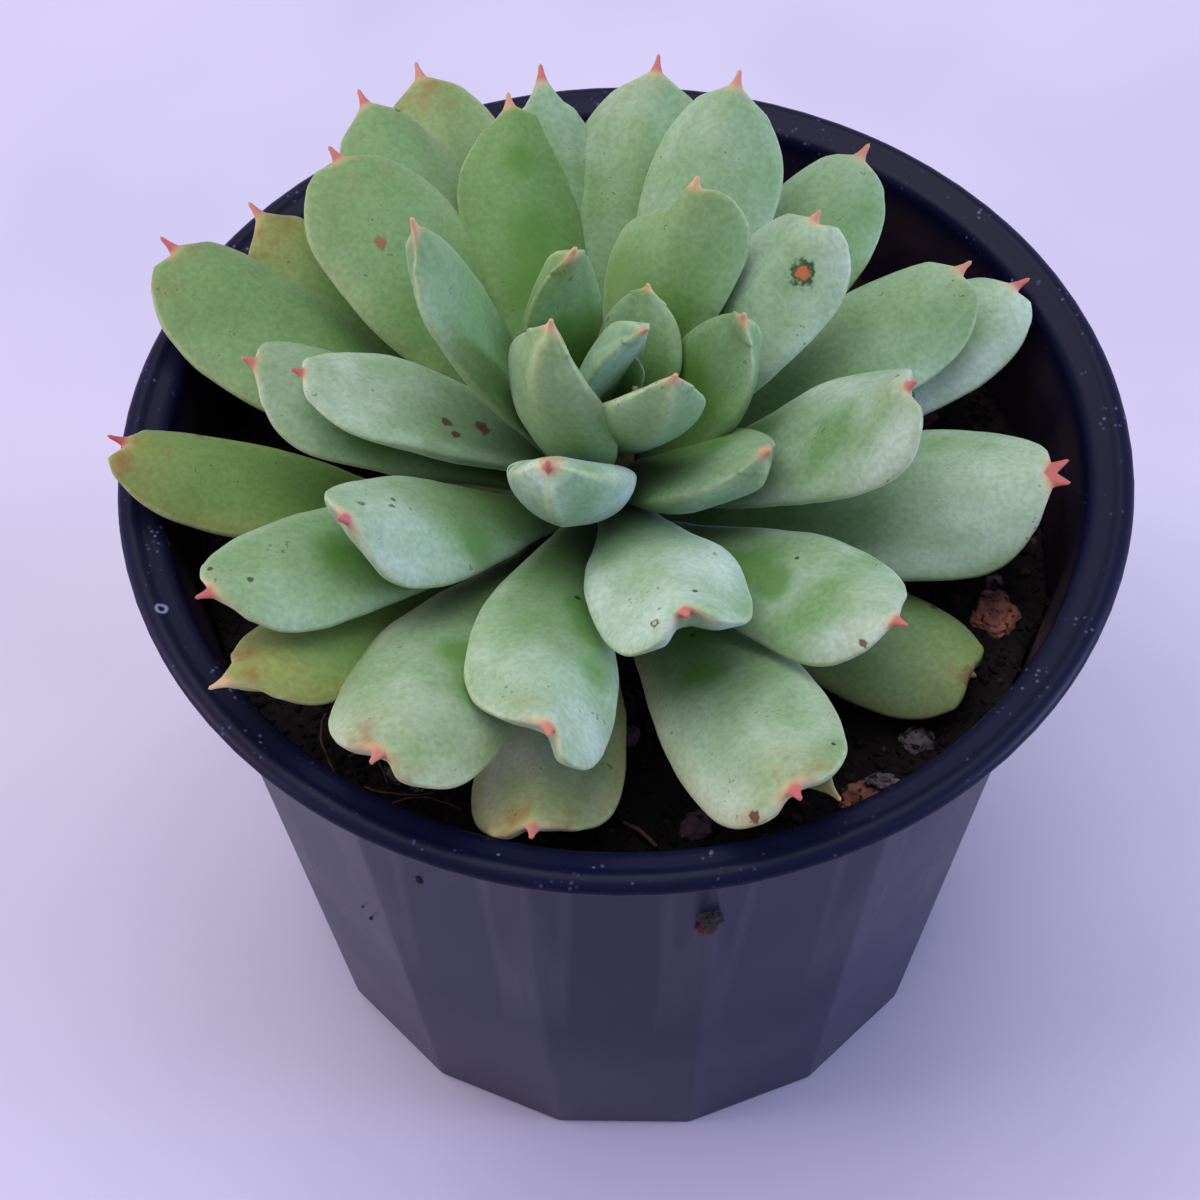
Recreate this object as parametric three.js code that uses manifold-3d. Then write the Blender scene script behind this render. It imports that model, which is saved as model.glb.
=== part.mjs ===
// Irish mint echeveria in a faceted nursery pot: a leaning rosette of thick, pointed leaves round
// a short stem, in gritty soil. Millimetres, +Z up, front towards -Y, with the origin on the
// ground under the middle of the pot.

import * as THREE from "three";
import { mergeVertices } from "three/addons/utils/BufferGeometryUtils.js";
import Module from "manifold-3d";

// Pot
const potHeight = 79;
const lipRadius = 50;
const facets = 16; // flat faces round the wall, one of them square to the front
const baseCorner = 38.2; // centre to the corners of the facets, on the ground
const wallCorner = 45.8; // the same, where the facets end
const facetTop = 72.8;
const collarRadius = 46.3; // round collar between the facets and the lip
const potWall = 1.1;
const potFloor = 1.6;
const drainHoles = 6;
const drainRadius = 3.5;
const drainCircle = 24;

// Soil and what lies on it
const soilTop = 64.6;
const soilRelief = 0.7; // how far the lumps stand above and below the soil's level
const gap = 0.3; // clearance between pieces that rest on each other

// Stem, which leans a little to the back and to the right as it climbs, and narrows to its tip
const stemRadius = 4.1;
const stemNarrows = 75; // height where it starts to narrow
const stemFoot = 52;
const stemTop = 84;
const stemTip = 0.8; // radius at the top
const stemSides = 20;
const stemLean = new THREE.Vector2(0.15, 0.128); // sideways travel for each millimetre of height
const stemStart = new THREE.Vector3(-3.5, -4, 66); // a point on the stem's axis

// Leaf, as shares of its own length and width
const rootShare = 0.3; // width at the stem
const heartRootShare = 0.55; // the same for leaves of the heart
const heartHeight = 77.5; // leaves that start above this are of the heart
const widestAt = 0.7; // share of the length
const shoulderEnd = 0.955; // where the blade ends and its spike begins
const shoulderPower = 2.4; // higher is blunter
const heartShoulderPower = 1.7;
const plumpWidestAt = 0.55; // the plump leaves of the heart taper from here to a point
const plumpShoulderPower = 1.5;
const spikeFoot = 2.2; // half width where the spike flares into the blade
const spikeStart = 0.92;
const spikeEnd = 0.3;
const leafCrown = -0.1; // the margins lie this share of the half width above the midrib
const heartCrown = 0.12;
const leafKeel = 0.45; // how sharp the ridge under the tip is, from 0 for round to 1
const heartKeel = 0.75;
const fullWidth = 14; // a leaf of this width has the thicknesses of the two profiles below
const backProfile = [[0, 1.2], [0.2, 2.0], [0.5, 3.2], [0.75, 3.4], [0.9, 2.2], [0.955, 0.75], [1, 0.3]];
const faceProfile = [[0, 0.8], [0.3, 1.1], [0.7, 1.4], [0.9, 0.9], [0.955, 0.6], [1, 0.3]];
const stations = [0, 0.14, 0.3, 0.46, 0.6, 0.72, 0.82, 0.89, 0.93, 0.96, 1];
const leafSides = 8;

// The leaves, from the oldest at the bottom to the heart of the rosette. Each whorl leaves the stem
// at one height. A leaf's turn is its compass direction in degrees from +X, rise its slope where it
// leaves the stem, bend how much steeper it is at the tip, roll its twist about its own midrib, all
// in degrees, and sway how far the tip swings sideways in millimetres. Fold is how far the sides of
// the tip fall below its middle, as a share of the half width. Lobes are how far the shoulders left
// and right of the spike reach past its foot, fork how far a split spike spreads, and stub how far a
// spike has dried back, in millimetres. Plump leaves are pointed, and this many times as thick as
// the others.
const whorls = [
  {
    height: 67,
    leaves: [
      {
        turn: -57, rise: 17, bend: 2, length: 42, width: 8.5, sway: -1,
        fold: 0.2, lobes: [-1.5, -1.5],
      },
      { turn: 32, rise: 16, bend: 0, length: 48.5, width: 14.5, sway: -3, fold: 0.3, lobes: [0, 1.2] },
      { turn: 139, rise: 14, bend: 12, length: 47, width: 13, sway: -0.5, fold: 0.25, lobes: [-0.6, -0.6] },
      {
        turn: 83, rise: 30, bend: 3, length: 48, width: 15.5, roll: 6, sway: -1,
        fold: 0.3, lobes: [-0.4, -0.6],
      },
      { turn: -136, rise: 33, bend: -11, length: 47, width: 11.5, fold: 0.25, lobes: [-1.8, -1.8] },
      {
        turn: -177, rise: 17, bend: 12, length: 46, width: 12.5, roll: 6, sway: -2,
        fold: 0.35, lobes: [2.2, -0.6],
      },
      { turn: -96, rise: 19, bend: 0, length: 40, width: 14, roll: 6, fold: 0.4, lobes: [-0.3, 1.4] },
      {
        turn: -25, rise: 10, bend: -12, length: 39.5, width: 13.5, roll: 4,
        fold: 0.25, lobes: [0.3, 0.3], stub: 2,
      },
    ],
  },
  {
    height: 69.5,
    leaves: [
      {
        turn: 114.5, rise: 16, bend: 0, length: 53, width: 15.5, roll: 4, sway: -3,
        fold: 0.2, lobes: [-0.4, -0.2],
      },
      {
        turn: 100, rise: 25, bend: 7, length: 45.5, width: 11.5, sway: -1.5,
        fold: 0.25, lobes: [-1.6, -1.6],
      },
      {
        turn: 156, rise: 14, bend: 13, length: 49, width: 16, roll: 6, sway: -3.5,
        fold: 0.3, lobes: [1.5, -0.5],
      },
      { turn: 54, rise: 23, bend: 2, length: 45, width: 14, sway: -1.5, fold: 0.3, lobes: [0.2, 0.1] },
      {
        turn: -2, rise: 11, bend: 6, length: 43.5, width: 17.5, roll: 4, sway: 1,
        fold: 0.35, lobes: [0.3, -0.4], fork: 1.3,
      },
      {
        turn: -62, rise: 18, bend: 9, length: 45, width: 15.5, roll: 9, sway: -3,
        fold: 0.35, lobes: [0.9, 1.1],
      },
    ],
  },
  {
    height: 72,
    leaves: [
      {
        turn: 126, rise: 22, bend: 0, length: 47.5, width: 14, roll: 5, sway: -3.5,
        fold: 0.25, lobes: [-0.4, -0.4],
      },
      { turn: 131.5, rise: 29, bend: 0, length: 42, width: 15.5, sway: 0.5, fold: 0.25, lobes: [0.9, -0.2] },
      {
        turn: 67, rise: 32, bend: 7, length: 43, width: 14, roll: -2, sway: 1.5,
        fold: 0.3, lobes: [-0.4, -0.4],
      },
      {
        turn: 28, rise: 19, bend: 2, length: 41, width: 14, roll: -3, sway: 1,
        fold: 0.4, lobes: [-0.3, 1.0],
      },
      {
        turn: -119, rise: 26, bend: -4, length: 44.5, width: 16.5, roll: 3, sway: 3.5,
        fold: 0.35, lobes: [1.9, 0.9],
      },
      {
        turn: -41, rise: 30, bend: -11, length: 36.5, width: 14, roll: 3, sway: 0.5,
        fold: 0.25, lobes: [-0.5, 0.3],
      },
      {
        turn: -149, rise: 35, bend: -15, length: 44, width: 13.5, sway: 3.5,
        fold: 0.2, lobes: [-0.6, 0.6],
      },
    ],
  },
  {
    height: 75,
    leaves: [
      {
        turn: 178, rise: 29, bend: 0, length: 34.5, width: 13, roll: 4, sway: -1.5,
        fold: 0.2, lobes: [-0.3, 0.3],
      },
      {
        turn: -105, rise: 25, bend: 1, length: 38.5, width: 14.5, roll: -14, sway: 6.5,
        fold: 0.45, lobes: [3.0, 0.3],
      },
      {
        turn: 111, rise: 21, bend: 5, length: 39.5, width: 13, roll: 8, sway: -4.5,
        fold: 0.25, lobes: [-0.6, -0.4],
      },
      { turn: 39, rise: 43, bend: -4, length: 31.5, width: 13.5, sway: 1, fold: 0.4, lobes: [-0.2, 1.5] },
      { turn: -6, rise: 27, bend: 25, length: 33, width: 14.5, roll: 3, fold: 0.45, lobes: [-0.3, 1.6] },
      { turn: -139, rise: 34, bend: 11, length: 34, width: 13, roll: -10, fold: 0.3, lobes: [-0.4, 0.6] },
    ],
  },
  {
    height: 77,
    leaves: [
      { turn: -74, rise: 33, bend: -3, length: 29, width: 14.5, fold: 0.5, lobes: [2.2, 2.6] },
      {
        turn: 70, rise: 48, bend: 4, length: 28, width: 13.5, roll: -8, sway: -1.5,
        fold: 0.45, lobes: [-2.4, 0.6],
      },
    ],
  },
  {
    height: 79,
    leaves: [
      {
        turn: -177, rise: 28, bend: 0, length: 30.5, width: 12, roll: 7, sway: -1,
        fold: 0.25, lobes: [0.4, 0.4],
      },
      {
        turn: 133, rise: 50, bend: 52, length: 23, width: 10, roll: -3, sway: -3.5,
        fold: 0.2, lobes: [-0.3, -0.3], plump: 1.2,
      },
      { turn: 176, rise: 54, bend: 22, length: 35, width: 11, sway: -1.5, fold: 0.3, lobes: [-1.2, -1.2] },
      {
        turn: -108, rise: 46, bend: 18, length: 21.5, width: 12, roll: 12, sway: -0.5,
        fold: 0.2, lobes: [0.3, 0.3], plump: 1.55,
      },
      {
        turn: -39, rise: 33, bend: 14, length: 18.5, width: 12, roll: -2, sway: 3.5,
        fold: 0.2, lobes: [-0.5, -0.5], plump: 1.2,
      },
      {
        turn: 15, rise: 36, bend: 45, length: 21, width: 11, roll: 11, sway: 0.5,
        fold: 0.25, lobes: [-0.5, -0.5], plump: 1.2,
      },
      {
        turn: -132, rise: 68, bend: 29, length: 26, width: 12, roll: 6, sway: -1,
        fold: 0.25, lobes: [-0.6, -0.6], plump: 1.1,
      },
    ],
  },
  {
    height: 82,
    leaves: [
      {
        turn: 61, rise: 43, bend: 14, length: 14.5, width: 9, roll: 5, sway: 2,
        fold: 0.25, lobes: [-0.3, -0.3], plump: 1.1,
      },
      {
        turn: 137, rise: 78, bend: 49, length: 17, width: 8, roll: -2, sway: -2.5,
        fold: 0.2, lobes: [-0.5, -0.5], plump: 1.3,
      },
      {
        turn: -67, rise: 58, bend: 15, length: 22.5, width: 10.5, roll: -15, sway: 2,
        fold: 0.2, lobes: [-0.4, -0.4], plump: 0.95,
      },
    ],
  },
  {
    height: 84,
    leaves: [
      { turn: 54, rise: 72, bend: 10, length: 8.5, width: 3.5, fold: 0.2, lobes: [-0.3, -0.3] },
      { turn: -10, rise: 70, bend: 20, length: 6, width: 3, fold: 0.2, lobes: [-0.3, -0.3] },
    ],
  },
];

// Loose bits big enough to see, half sunk in the soil: where each lies, and its half sizes
const grit = [
  { name: "pumice_right", x: 37.2, y: -10.5, size: [2.9, 3.4, 2.2], seed: 3 },
  { name: "pumice_front", x: 23.6, y: -31.6, size: [3.1, 1.9, 1.5], seed: 8 },
  { name: "pebble_front", x: 7.2, y: -35.4, size: [2.0, 2.0, 1.6], seed: 5 },
  { name: "perlite_front", x: 28.7, y: -25.4, size: [2.2, 1.8, 1.5], seed: 13 },
  { name: "perlite_left", x: -21.6, y: -29.8, size: [1.7, 1.3, 1.1], seed: 21 },
  { name: "pebble_back", x: 31.6, y: 14.6, size: [1.8, 1.5, 1.3], seed: 34 },
];

const materials = {
  pot: new THREE.MeshStandardMaterial({ color: 0x34333f, roughness: 0.45, metalness: 0 }),
  soil: new THREE.MeshStandardMaterial({ color: 0x17130f, roughness: 0.98, metalness: 0 }),
  stem: new THREE.MeshStandardMaterial({ color: 0x6f7a4b, roughness: 0.8, metalness: 0 }),
  leaf: new THREE.MeshStandardMaterial({ color: 0x86a583, roughness: 0.6, metalness: 0 }),
  grit: new THREE.MeshStandardMaterial({ color: 0xa07a70, roughness: 0.95, metalness: 0 }),
};

const wasm = await Module();
wasm.setup();

const part = new THREE.Group();
part.name = "potted_echeveria";

// A repeatable random number from 0 to 1 for each whole number it is given
function chance(n) {
  const s = Math.sin(n * 127.1 + 311.7) * 43758.5453;
  return s - Math.floor(s);
}

// A height read off a list of [share, height] pairs, straight between them
function along(profile, share) {
  const after = profile.findIndex(([at]) => at >= share);
  if (after <= 0) return profile[0][1];
  const [at0, v0] = profile[after - 1];
  const [at1, v1] = profile[after];
  return v0 + ((v1 - v0) * (share - at0)) / (at1 - at0);
}

// A closed surface through a stack of rings with equal numbers of points, with a fan at each end
function loft(rings) {
  const count = rings[0].length;
  const points = rings.flat();
  const faces = [];
  for (let r = 0; r + 1 < rings.length; r++) {
    for (let i = 0; i < count; i++) {
      const a = r * count + i;
      const b = r * count + ((i + 1) % count);
      faces.push(a, b, b + count, a, b + count, a + count);
    }
  }
  for (const [ring, start, turned] of [[rings[0], 0, true], [rings.at(-1), points.length - count, false]]) {
    const middle = ring.reduce((sum, p) => sum.add(p), new THREE.Vector3()).divideScalar(count);
    const hub = points.push(middle) - 1;
    for (let i = 0; i < count; i++) {
      const a = start + i;
      const b = start + ((i + 1) % count);
      faces.push(...(turned ? [b, a, hub] : [a, b, hub]));
    }
  }
  return new THREE.BufferGeometry().setFromPoints(points).setIndex(faces);
}

// A geometry as a solid that can be joined and cut
function solid(geometry) {
  const bare = geometry.clone();
  bare.deleteAttribute("normal");
  bare.deleteAttribute("uv");
  const welded = mergeVertices(bare, 1e-4);
  return new wasm.Manifold(
    new wasm.Mesh({
      numProp: 3,
      vertProperties: new Float32Array(welded.attributes.position.array),
      triVerts: new Uint32Array(welded.index.array),
    }),
  );
}

// The largest body of a solid, as a named mesh: a cut can leave loose slivers beside it
function addMesh(name, made, material) {
  const bodies = made.decompose().sort((a, b) => b.volume() - a.volume());
  const mesh = bodies[0].getMesh();
  const geometry = new THREE.BufferGeometry();
  geometry.setAttribute("position", new THREE.BufferAttribute(mesh.vertProperties, 3));
  geometry.setIndex(new THREE.BufferAttribute(mesh.triVerts, 1));
  geometry.computeVertexNormals();
  const node = new THREE.Mesh(geometry, material);
  node.name = name;
  part.add(node);
}

// One level ring of the pot: a facetted outline at roundness 0, a circle at roundness 1
const ringPoints = facets * 4;
function potRing(corner, z, roundness = 0) {
  const step = (2 * Math.PI) / facets;
  const flat = corner * Math.cos(step / 2);
  const ring = [];
  for (let i = 0; i < ringPoints; i++) {
    const angle = -Math.PI / 2 + (i * 2 * Math.PI) / ringPoints - step / 2;
    const fromFace = ((i / 4) % 1) * step - step / 2;
    const radius = THREE.MathUtils.lerp(flat / Math.cos(fromFace), corner, roundness);
    ring.push(new THREE.Vector3(radius * Math.cos(angle), radius * Math.sin(angle), z));
  }
  return ring;
}

// Centre to corner of the pot's outside, at a height within the facets
const potCorner = (z) => THREE.MathUtils.lerp(baseCorner, wallCorner, z / facetTop);

function potShell() {
  const outside = [
    potRing(baseCorner - 0.6, 0),
    potRing(potCorner(0.8), 0.8),
    potRing(wallCorner, facetTop),
    potRing(collarRadius, 74.4, 1),
    potRing(collarRadius + 0.3, 76.4, 1),
    potRing(lipRadius - 1.4, 76.9, 1),
    potRing(lipRadius - 0.3, 77.3, 1),
    potRing(lipRadius, 77.9, 1),
    potRing(lipRadius - 0.4, 78.6, 1),
    potRing(lipRadius - 1.3, potHeight, 1),
    potRing(lipRadius - 2.1, 78.6, 1), // shallow step inside the bead
    potRing(lipRadius - 3.6, 78.5, 1),
    potRing(lipRadius - 4.3, 78.0, 1),
    potRing(lipRadius - 4.6, 77.0, 1),
    potRing(wallCorner - potWall + 0.3, facetTop + 1, 1),
    potRing(wallCorner - potWall, facetTop - 1),
    potRing(potCorner(potFloor) - potWall, potFloor),
  ];
  let shell = solid(loft(outside));
  for (let i = 0; i < drainHoles; i++) {
    const angle = (2 * Math.PI * (i + 0.5)) / drainHoles;
    const hole = new THREE.CylinderGeometry(drainRadius, drainRadius, 4 * potFloor, 16);
    hole.rotateX(Math.PI / 2);
    hole.translate(drainCircle * Math.cos(angle), drainCircle * Math.sin(angle), potFloor / 2);
    shell = shell.subtract(solid(hole));
  }
  return shell;
}

// The stem's axis at a height
function stemAxis(z) {
  const climb = z - stemStart.z;
  return new THREE.Vector3(stemStart.x + stemLean.x * climb, stemStart.y + stemLean.y * climb, z);
}

// The stem's radius at a height within the leaves
function stemAt(z) {
  return THREE.MathUtils.lerp(stemRadius, stemTip, THREE.MathUtils.smoothstep(z, stemNarrows, stemTop));
}

function stemSolid(grow = 0) {
  const taper = stemTop - stemNarrows;
  const narrowing = [0, 0.22, 0.44, 0.67, 0.89, 1].map((share) => stemNarrows + share * taper);
  const rings = [stemFoot, stemFoot + 3, ...narrowing].map((z) => {
    const axis = stemAxis(z);
    const radius = stemAt(z) * (z === stemFoot ? 0.7 : 1) + grow;
    if (z === stemFoot) axis.z -= grow;
    if (z === stemTop) axis.z += grow;
    return Array.from({ length: stemSides }, (_, i) => {
      const angle = (i * 2 * Math.PI) / stemSides;
      return new THREE.Vector3(radius * Math.cos(angle), radius * Math.sin(angle), 0).add(axis);
    });
  });
  return solid(loft(rings));
}

// Half the leaf's width at a share of its length, with the spike at the end
function halfWidth(leaf, share, grow) {
  const young = leaf.height > heartHeight;
  const widest = leaf.plump ? plumpWidestAt : widestAt;
  let blade = 0;
  if (share < widest) {
    const root = young ? heartRootShare : rootShare;
    blade = (leaf.width / 2) * THREE.MathUtils.lerp(root, 1, THREE.MathUtils.smoothstep(share, 0, widest));
  } else if (share < shoulderEnd) {
    const v = (share - widest) / (shoulderEnd - widest);
    const heartPower = leaf.plump ? plumpShoulderPower : heartShoulderPower;
    blade = (leaf.width / 2) * Math.sqrt(1 - v ** (young ? heartPower : shoulderPower));
  }
  const toTip = THREE.MathUtils.clamp((share - spikeStart) / (1 - spikeStart), 0, 1);
  const flare = Math.min(spikeFoot, leaf.width / 6) * (1 - toTip) ** 2.2;
  const spike = share < spikeStart ? 0 : spikeEnd + flare;
  return Math.cbrt(blade ** 3 + spike ** 3) + grow;
}

// One ring of points round the leaf, square to its midrib
function leafRing(leaf, share, grow) {
  const turn = THREE.MathUtils.degToRad(leaf.turn);
  const rise = THREE.MathUtils.degToRad(leaf.rise);
  const bend = THREE.MathUtils.degToRad(leaf.bend || 0.01);
  const roll = THREE.MathUtils.degToRad(leaf.roll ?? 0);
  const slope = rise + bend * share;
  const out = stemAt(leaf.height) + (leaf.length / bend) * (Math.sin(slope) - Math.sin(rise));
  const up = (-leaf.length / bend) * (Math.cos(slope) - Math.cos(rise));
  const outward = new THREE.Vector3(Math.cos(turn), Math.sin(turn), 0);
  const side = new THREE.Vector3(-Math.sin(turn), Math.cos(turn), 0);
  const face = outward.clone().multiplyScalar(-Math.sin(slope)).setZ(Math.cos(slope));
  const middle = stemAxis(leaf.height)
    .addScaledVector(outward, out)
    .addScaledVector(side, (leaf.sway ?? 0) * share * share)
    .add(new THREE.Vector3(0, 0, up));
  const endwise = new THREE.Vector3().crossVectors(side, face).multiplyScalar(share === 0 ? -grow : 0);
  if (share === 1) endwise.crossVectors(side, face).multiplyScalar(grow);

  const half = halfWidth(leaf, share, grow);
  const scale = ((leaf.plump ?? 1) * leaf.width) / fullWidth;
  const faceHeight = Math.max(along(faceProfile, share) * scale, spikeEnd) + grow;
  const backHeight = Math.max(along(backProfile, share) * scale, spikeEnd) + grow;
  const ease = THREE.MathUtils.smoothstep;
  const young = leaf.height > heartHeight;
  const crown = (young ? heartCrown : leafCrown) * ease(share, 0, 0.3) * (1 - 0.8 * ease(share, 0.86, 0.97));
  const fold = leaf.fold * ease(share, 0.55, 0.93);
  const keel = (young ? heartKeel : leafKeel) * ease(share, 0.45, 0.92);
  const split = (leaf.fork ?? 0) * ease(share, 0.91, 1);
  const dried = (leaf.stub ?? 0) * ease(share, 0.92, 1);
  const tangent = new THREE.Vector3().crossVectors(side, face);
  return Array.from({ length: leafSides }, (_, i) => {
    const angle = (i * 2 * Math.PI) / leafSides;
    const across = Math.cos(angle);
    const wide = (2 * half * across) / leaf.width; // share of the leaf's half width, with a sign
    const round = Math.abs(Math.sin(angle));
    const section = Math.sin(angle) > 0 ? round : -THREE.MathUtils.lerp(round, 1 - Math.abs(across), keel);
    const relief = crown * wide ** 2 - fold * Math.abs(wide) ** 1.3;
    const y = (relief * leaf.width) / 2 + section * (section > 0 ? faceHeight : backHeight);
    const x = half * across + split * across;
    const lobe = leaf.lobes[across > 0 ? 0 : 1] * ease(share, 0.72, 0.93) * ease(Math.abs(wide), 0.06, 0.36);
    return middle
      .clone()
      .addScaledVector(side, x * Math.cos(roll) - y * Math.sin(roll))
      .addScaledVector(face, x * Math.sin(roll) + y * Math.cos(roll))
      .addScaledVector(tangent, lobe - dried - split * (1 - Math.abs(across)))
      .add(endwise);
  });
}

const leafSolid = (leaf, grow = 0) => solid(loft(stations.map((share) => leafRing(leaf, share, grow))));

// A rough stone, wider than it is tall
function stoneSolid(stone, grow = 0) {
  const geometry = new THREE.IcosahedronGeometry(1, 1);
  const spot = geometry.attributes.position;
  const point = new THREE.Vector3();
  const cell = (v) => Math.round(v * 40);
  for (let i = 0; i < spot.count; i++) {
    point.fromBufferAttribute(spot, i);
    const bump = 0.86 + 0.28 * chance(stone.seed + cell(point.x) + 7 * cell(point.y) + 13 * cell(point.z));
    const radii = stone.size.map((half) => half * bump + grow);
    spot.setXYZ(i, point.x * radii[0] + stone.x, point.y * radii[1] + stone.y, point.z * radii[2] + soilTop);
  }
  return solid(geometry);
}

// Height of the soil's lumps above its level, easing to nothing at the pot's wall
function lump(x, y, share) {
  const waves = Math.sin(x * 0.55 + 1.3) * Math.sin(y * 0.48 + 0.4) + 0.6 * Math.sin(x * 1.1 - y * 0.9);
  return (soilRelief * waves * Math.sqrt(1 - share)) / 1.6;
}

function soilSolid() {
  const inner = (z) => potCorner(z) - potWall - gap;
  const bottom = potFloor + gap;
  const rings = [potRing(inner(bottom), bottom)];
  for (let share = 1; share > 0.05; share -= 0.15) {
    const ring = potRing(inner(soilTop) * share, soilTop, 1 - share);
    ring.forEach((p) => p.setZ(soilTop + lump(p.x, p.y, share)));
    rings.push(ring);
  }
  let soil = solid(loft(rings)).subtract(stemSolid(gap));
  for (const stone of grit) soil = soil.subtract(stoneSolid(stone, gap));
  return soil;
}

addMesh("pot", potShell(), materials.pot);
addMesh("soil", soilSolid(), materials.soil);
addMesh("stem", stemSolid(), materials.stem);
for (const stone of grit) addMesh(stone.name, stoneSolid(stone), materials.grit);

// A leaf gives way to the stem and to every younger leaf that presses on it
const leaves = whorls.flatMap(({ height, leaves: whorl }) => whorl.map((leaf) => ({ ...leaf, height })));
const grown = leaves.map((leaf) => leafSolid(leaf, gap));
const stemRoom = stemSolid(gap);
leaves.forEach((leaf, i) => {
  let blade = leafSolid(leaf).subtract(stemRoom);
  for (const younger of grown.slice(i + 1)) blade = blade.subtract(younger);
  addMesh(`leaf_${String(i + 1).padStart(2, "0")}`, blade, materials.leaf);
});

export default part;
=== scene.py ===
import math
import random

import bmesh
import bpy
from mathutils import Matrix, Vector


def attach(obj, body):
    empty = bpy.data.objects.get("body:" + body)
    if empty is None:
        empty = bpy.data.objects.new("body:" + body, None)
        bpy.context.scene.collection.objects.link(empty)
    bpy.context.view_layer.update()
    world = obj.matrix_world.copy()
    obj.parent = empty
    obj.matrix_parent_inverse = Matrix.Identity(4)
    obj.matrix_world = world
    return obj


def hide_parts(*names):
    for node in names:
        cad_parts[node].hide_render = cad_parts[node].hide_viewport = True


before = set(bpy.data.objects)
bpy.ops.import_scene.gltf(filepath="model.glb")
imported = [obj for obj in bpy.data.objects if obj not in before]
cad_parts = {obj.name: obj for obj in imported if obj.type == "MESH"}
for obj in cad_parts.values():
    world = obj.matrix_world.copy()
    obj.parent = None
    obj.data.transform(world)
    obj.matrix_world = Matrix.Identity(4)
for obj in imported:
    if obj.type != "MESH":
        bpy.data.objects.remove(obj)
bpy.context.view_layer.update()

mm = 0.001
scene = bpy.context.scene


# Small helpers for node trees

def addNode(tree, kind, **settings):
    node = tree.nodes.new(kind)
    for name, value in settings.items():
        setattr(node, name, value)
    return node


def feed(socket, value):
    # a value is either another node's output or a plain number
    if isinstance(value, bpy.types.NodeSocket):
        socket.id_data.links.new(value, socket)
    elif value is not None:
        socket.default_value = value


def mathNode(tree, operation, *values, clamp=False):
    node = addNode(tree, "ShaderNodeMath", operation=operation, use_clamp=clamp)
    for socket, value in zip(node.inputs, values):
        feed(socket, value)
    return node.outputs[0]


def vectorMath(tree, operation, *values):
    node = addNode(tree, "ShaderNodeVectorMath", operation=operation)
    for socket, value in zip(node.inputs, values):
        feed(socket, value)
    return node.outputs["Value" if operation in {"LENGTH", "DISTANCE", "DOT_PRODUCT"} else "Vector"]


def scaleVector(tree, vector, factor):
    node = addNode(tree, "ShaderNodeVectorMath", operation="SCALE")
    feed(node.inputs["Vector"], vector)
    feed(node.inputs["Scale"], factor)
    return node.outputs["Vector"]


def mapRange(tree, value, low, high, toLow=0.0, toHigh=1.0, smooth=False):
    node = addNode(tree, "ShaderNodeMapRange", interpolation_type="SMOOTHSTEP" if smooth else "LINEAR")
    for name, given in (("Value", value), ("From Min", low), ("From Max", high),
                        ("To Min", toLow), ("To Max", toHigh)):
        feed(node.inputs[name], given)
    return node.outputs["Result"]


def mixColour(tree, factor, under, over, blend="MIX"):
    node = addNode(tree, "ShaderNodeMix", data_type="RGBA", blend_type=blend)
    for index, value in ((0, factor), (6, under), (7, over)):
        feed(node.inputs[index], value)
    return node.outputs[2]


def noise(tree, vector, scale, detail=3.0, roughness=0.5):
    node = addNode(tree, "ShaderNodeTexNoise")
    feed(node.inputs["Vector"], vector)
    for name, value in (("Scale", scale), ("Detail", detail), ("Roughness", roughness)):
        feed(node.inputs[name], value)
    return node.outputs[0]


def cellDistance(tree, vector, scale):
    node = addNode(tree, "ShaderNodeTexVoronoi")
    feed(node.inputs["Vector"], vector)
    feed(node.inputs["Scale"], scale)
    return node.outputs["Distance"]


def noiseVector(tree, vector, scale):
    node = addNode(tree, "ShaderNodeTexNoise")
    feed(node.inputs["Vector"], vector)
    feed(node.inputs["Scale"], scale)
    return node.outputs["Color"]


def colour(red, green, blue):
    # colours are written as they look on screen, 0 to 255
    def toLinear(value):
        share = value / 255
        return share / 12.92 if share <= 0.04045 else ((share + 0.055) / 1.055) ** 2.4
    return (toLinear(red), toLinear(green), toLinear(blue), 1.0)


def newMaterial(name):
    material = bpy.data.materials.new(name)
    material.use_nodes = True
    tree = material.node_tree
    shader = tree.nodes["Principled BSDF"]
    place = addNode(tree, "ShaderNodeTexCoord").outputs["Object"]
    return material, tree, shader, place


def sumsOf(tree):
    # short names for the sums in one tree
    def calc(operation, *values):
        return mathNode(tree, operation, *values)

    def chain(operation):
        def run(value, *others):
            for other in others:
                value = mathNode(tree, operation, value, other)
            return value
        return run

    def ramp(*values, **settings):
        return mapRange(tree, *values, **settings)

    return calc, chain("MULTIPLY"), chain("ADD"), chain("SUBTRACT"), ramp


def addBump(tree, shader, height, strength, distance):
    bump = addNode(tree, "ShaderNodeBump")
    feed(bump.inputs["Strength"], strength)
    feed(bump.inputs["Distance"], distance)
    feed(bump.inputs["Height"], height)
    feed(shader.inputs["Normal"], bump.outputs["Normal"])


def attributeValue(tree, name):
    return addNode(tree, "ShaderNodeAttribute", attribute_name=name).outputs["Fac"]


# Small helpers for geometry trees and pieces

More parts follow.
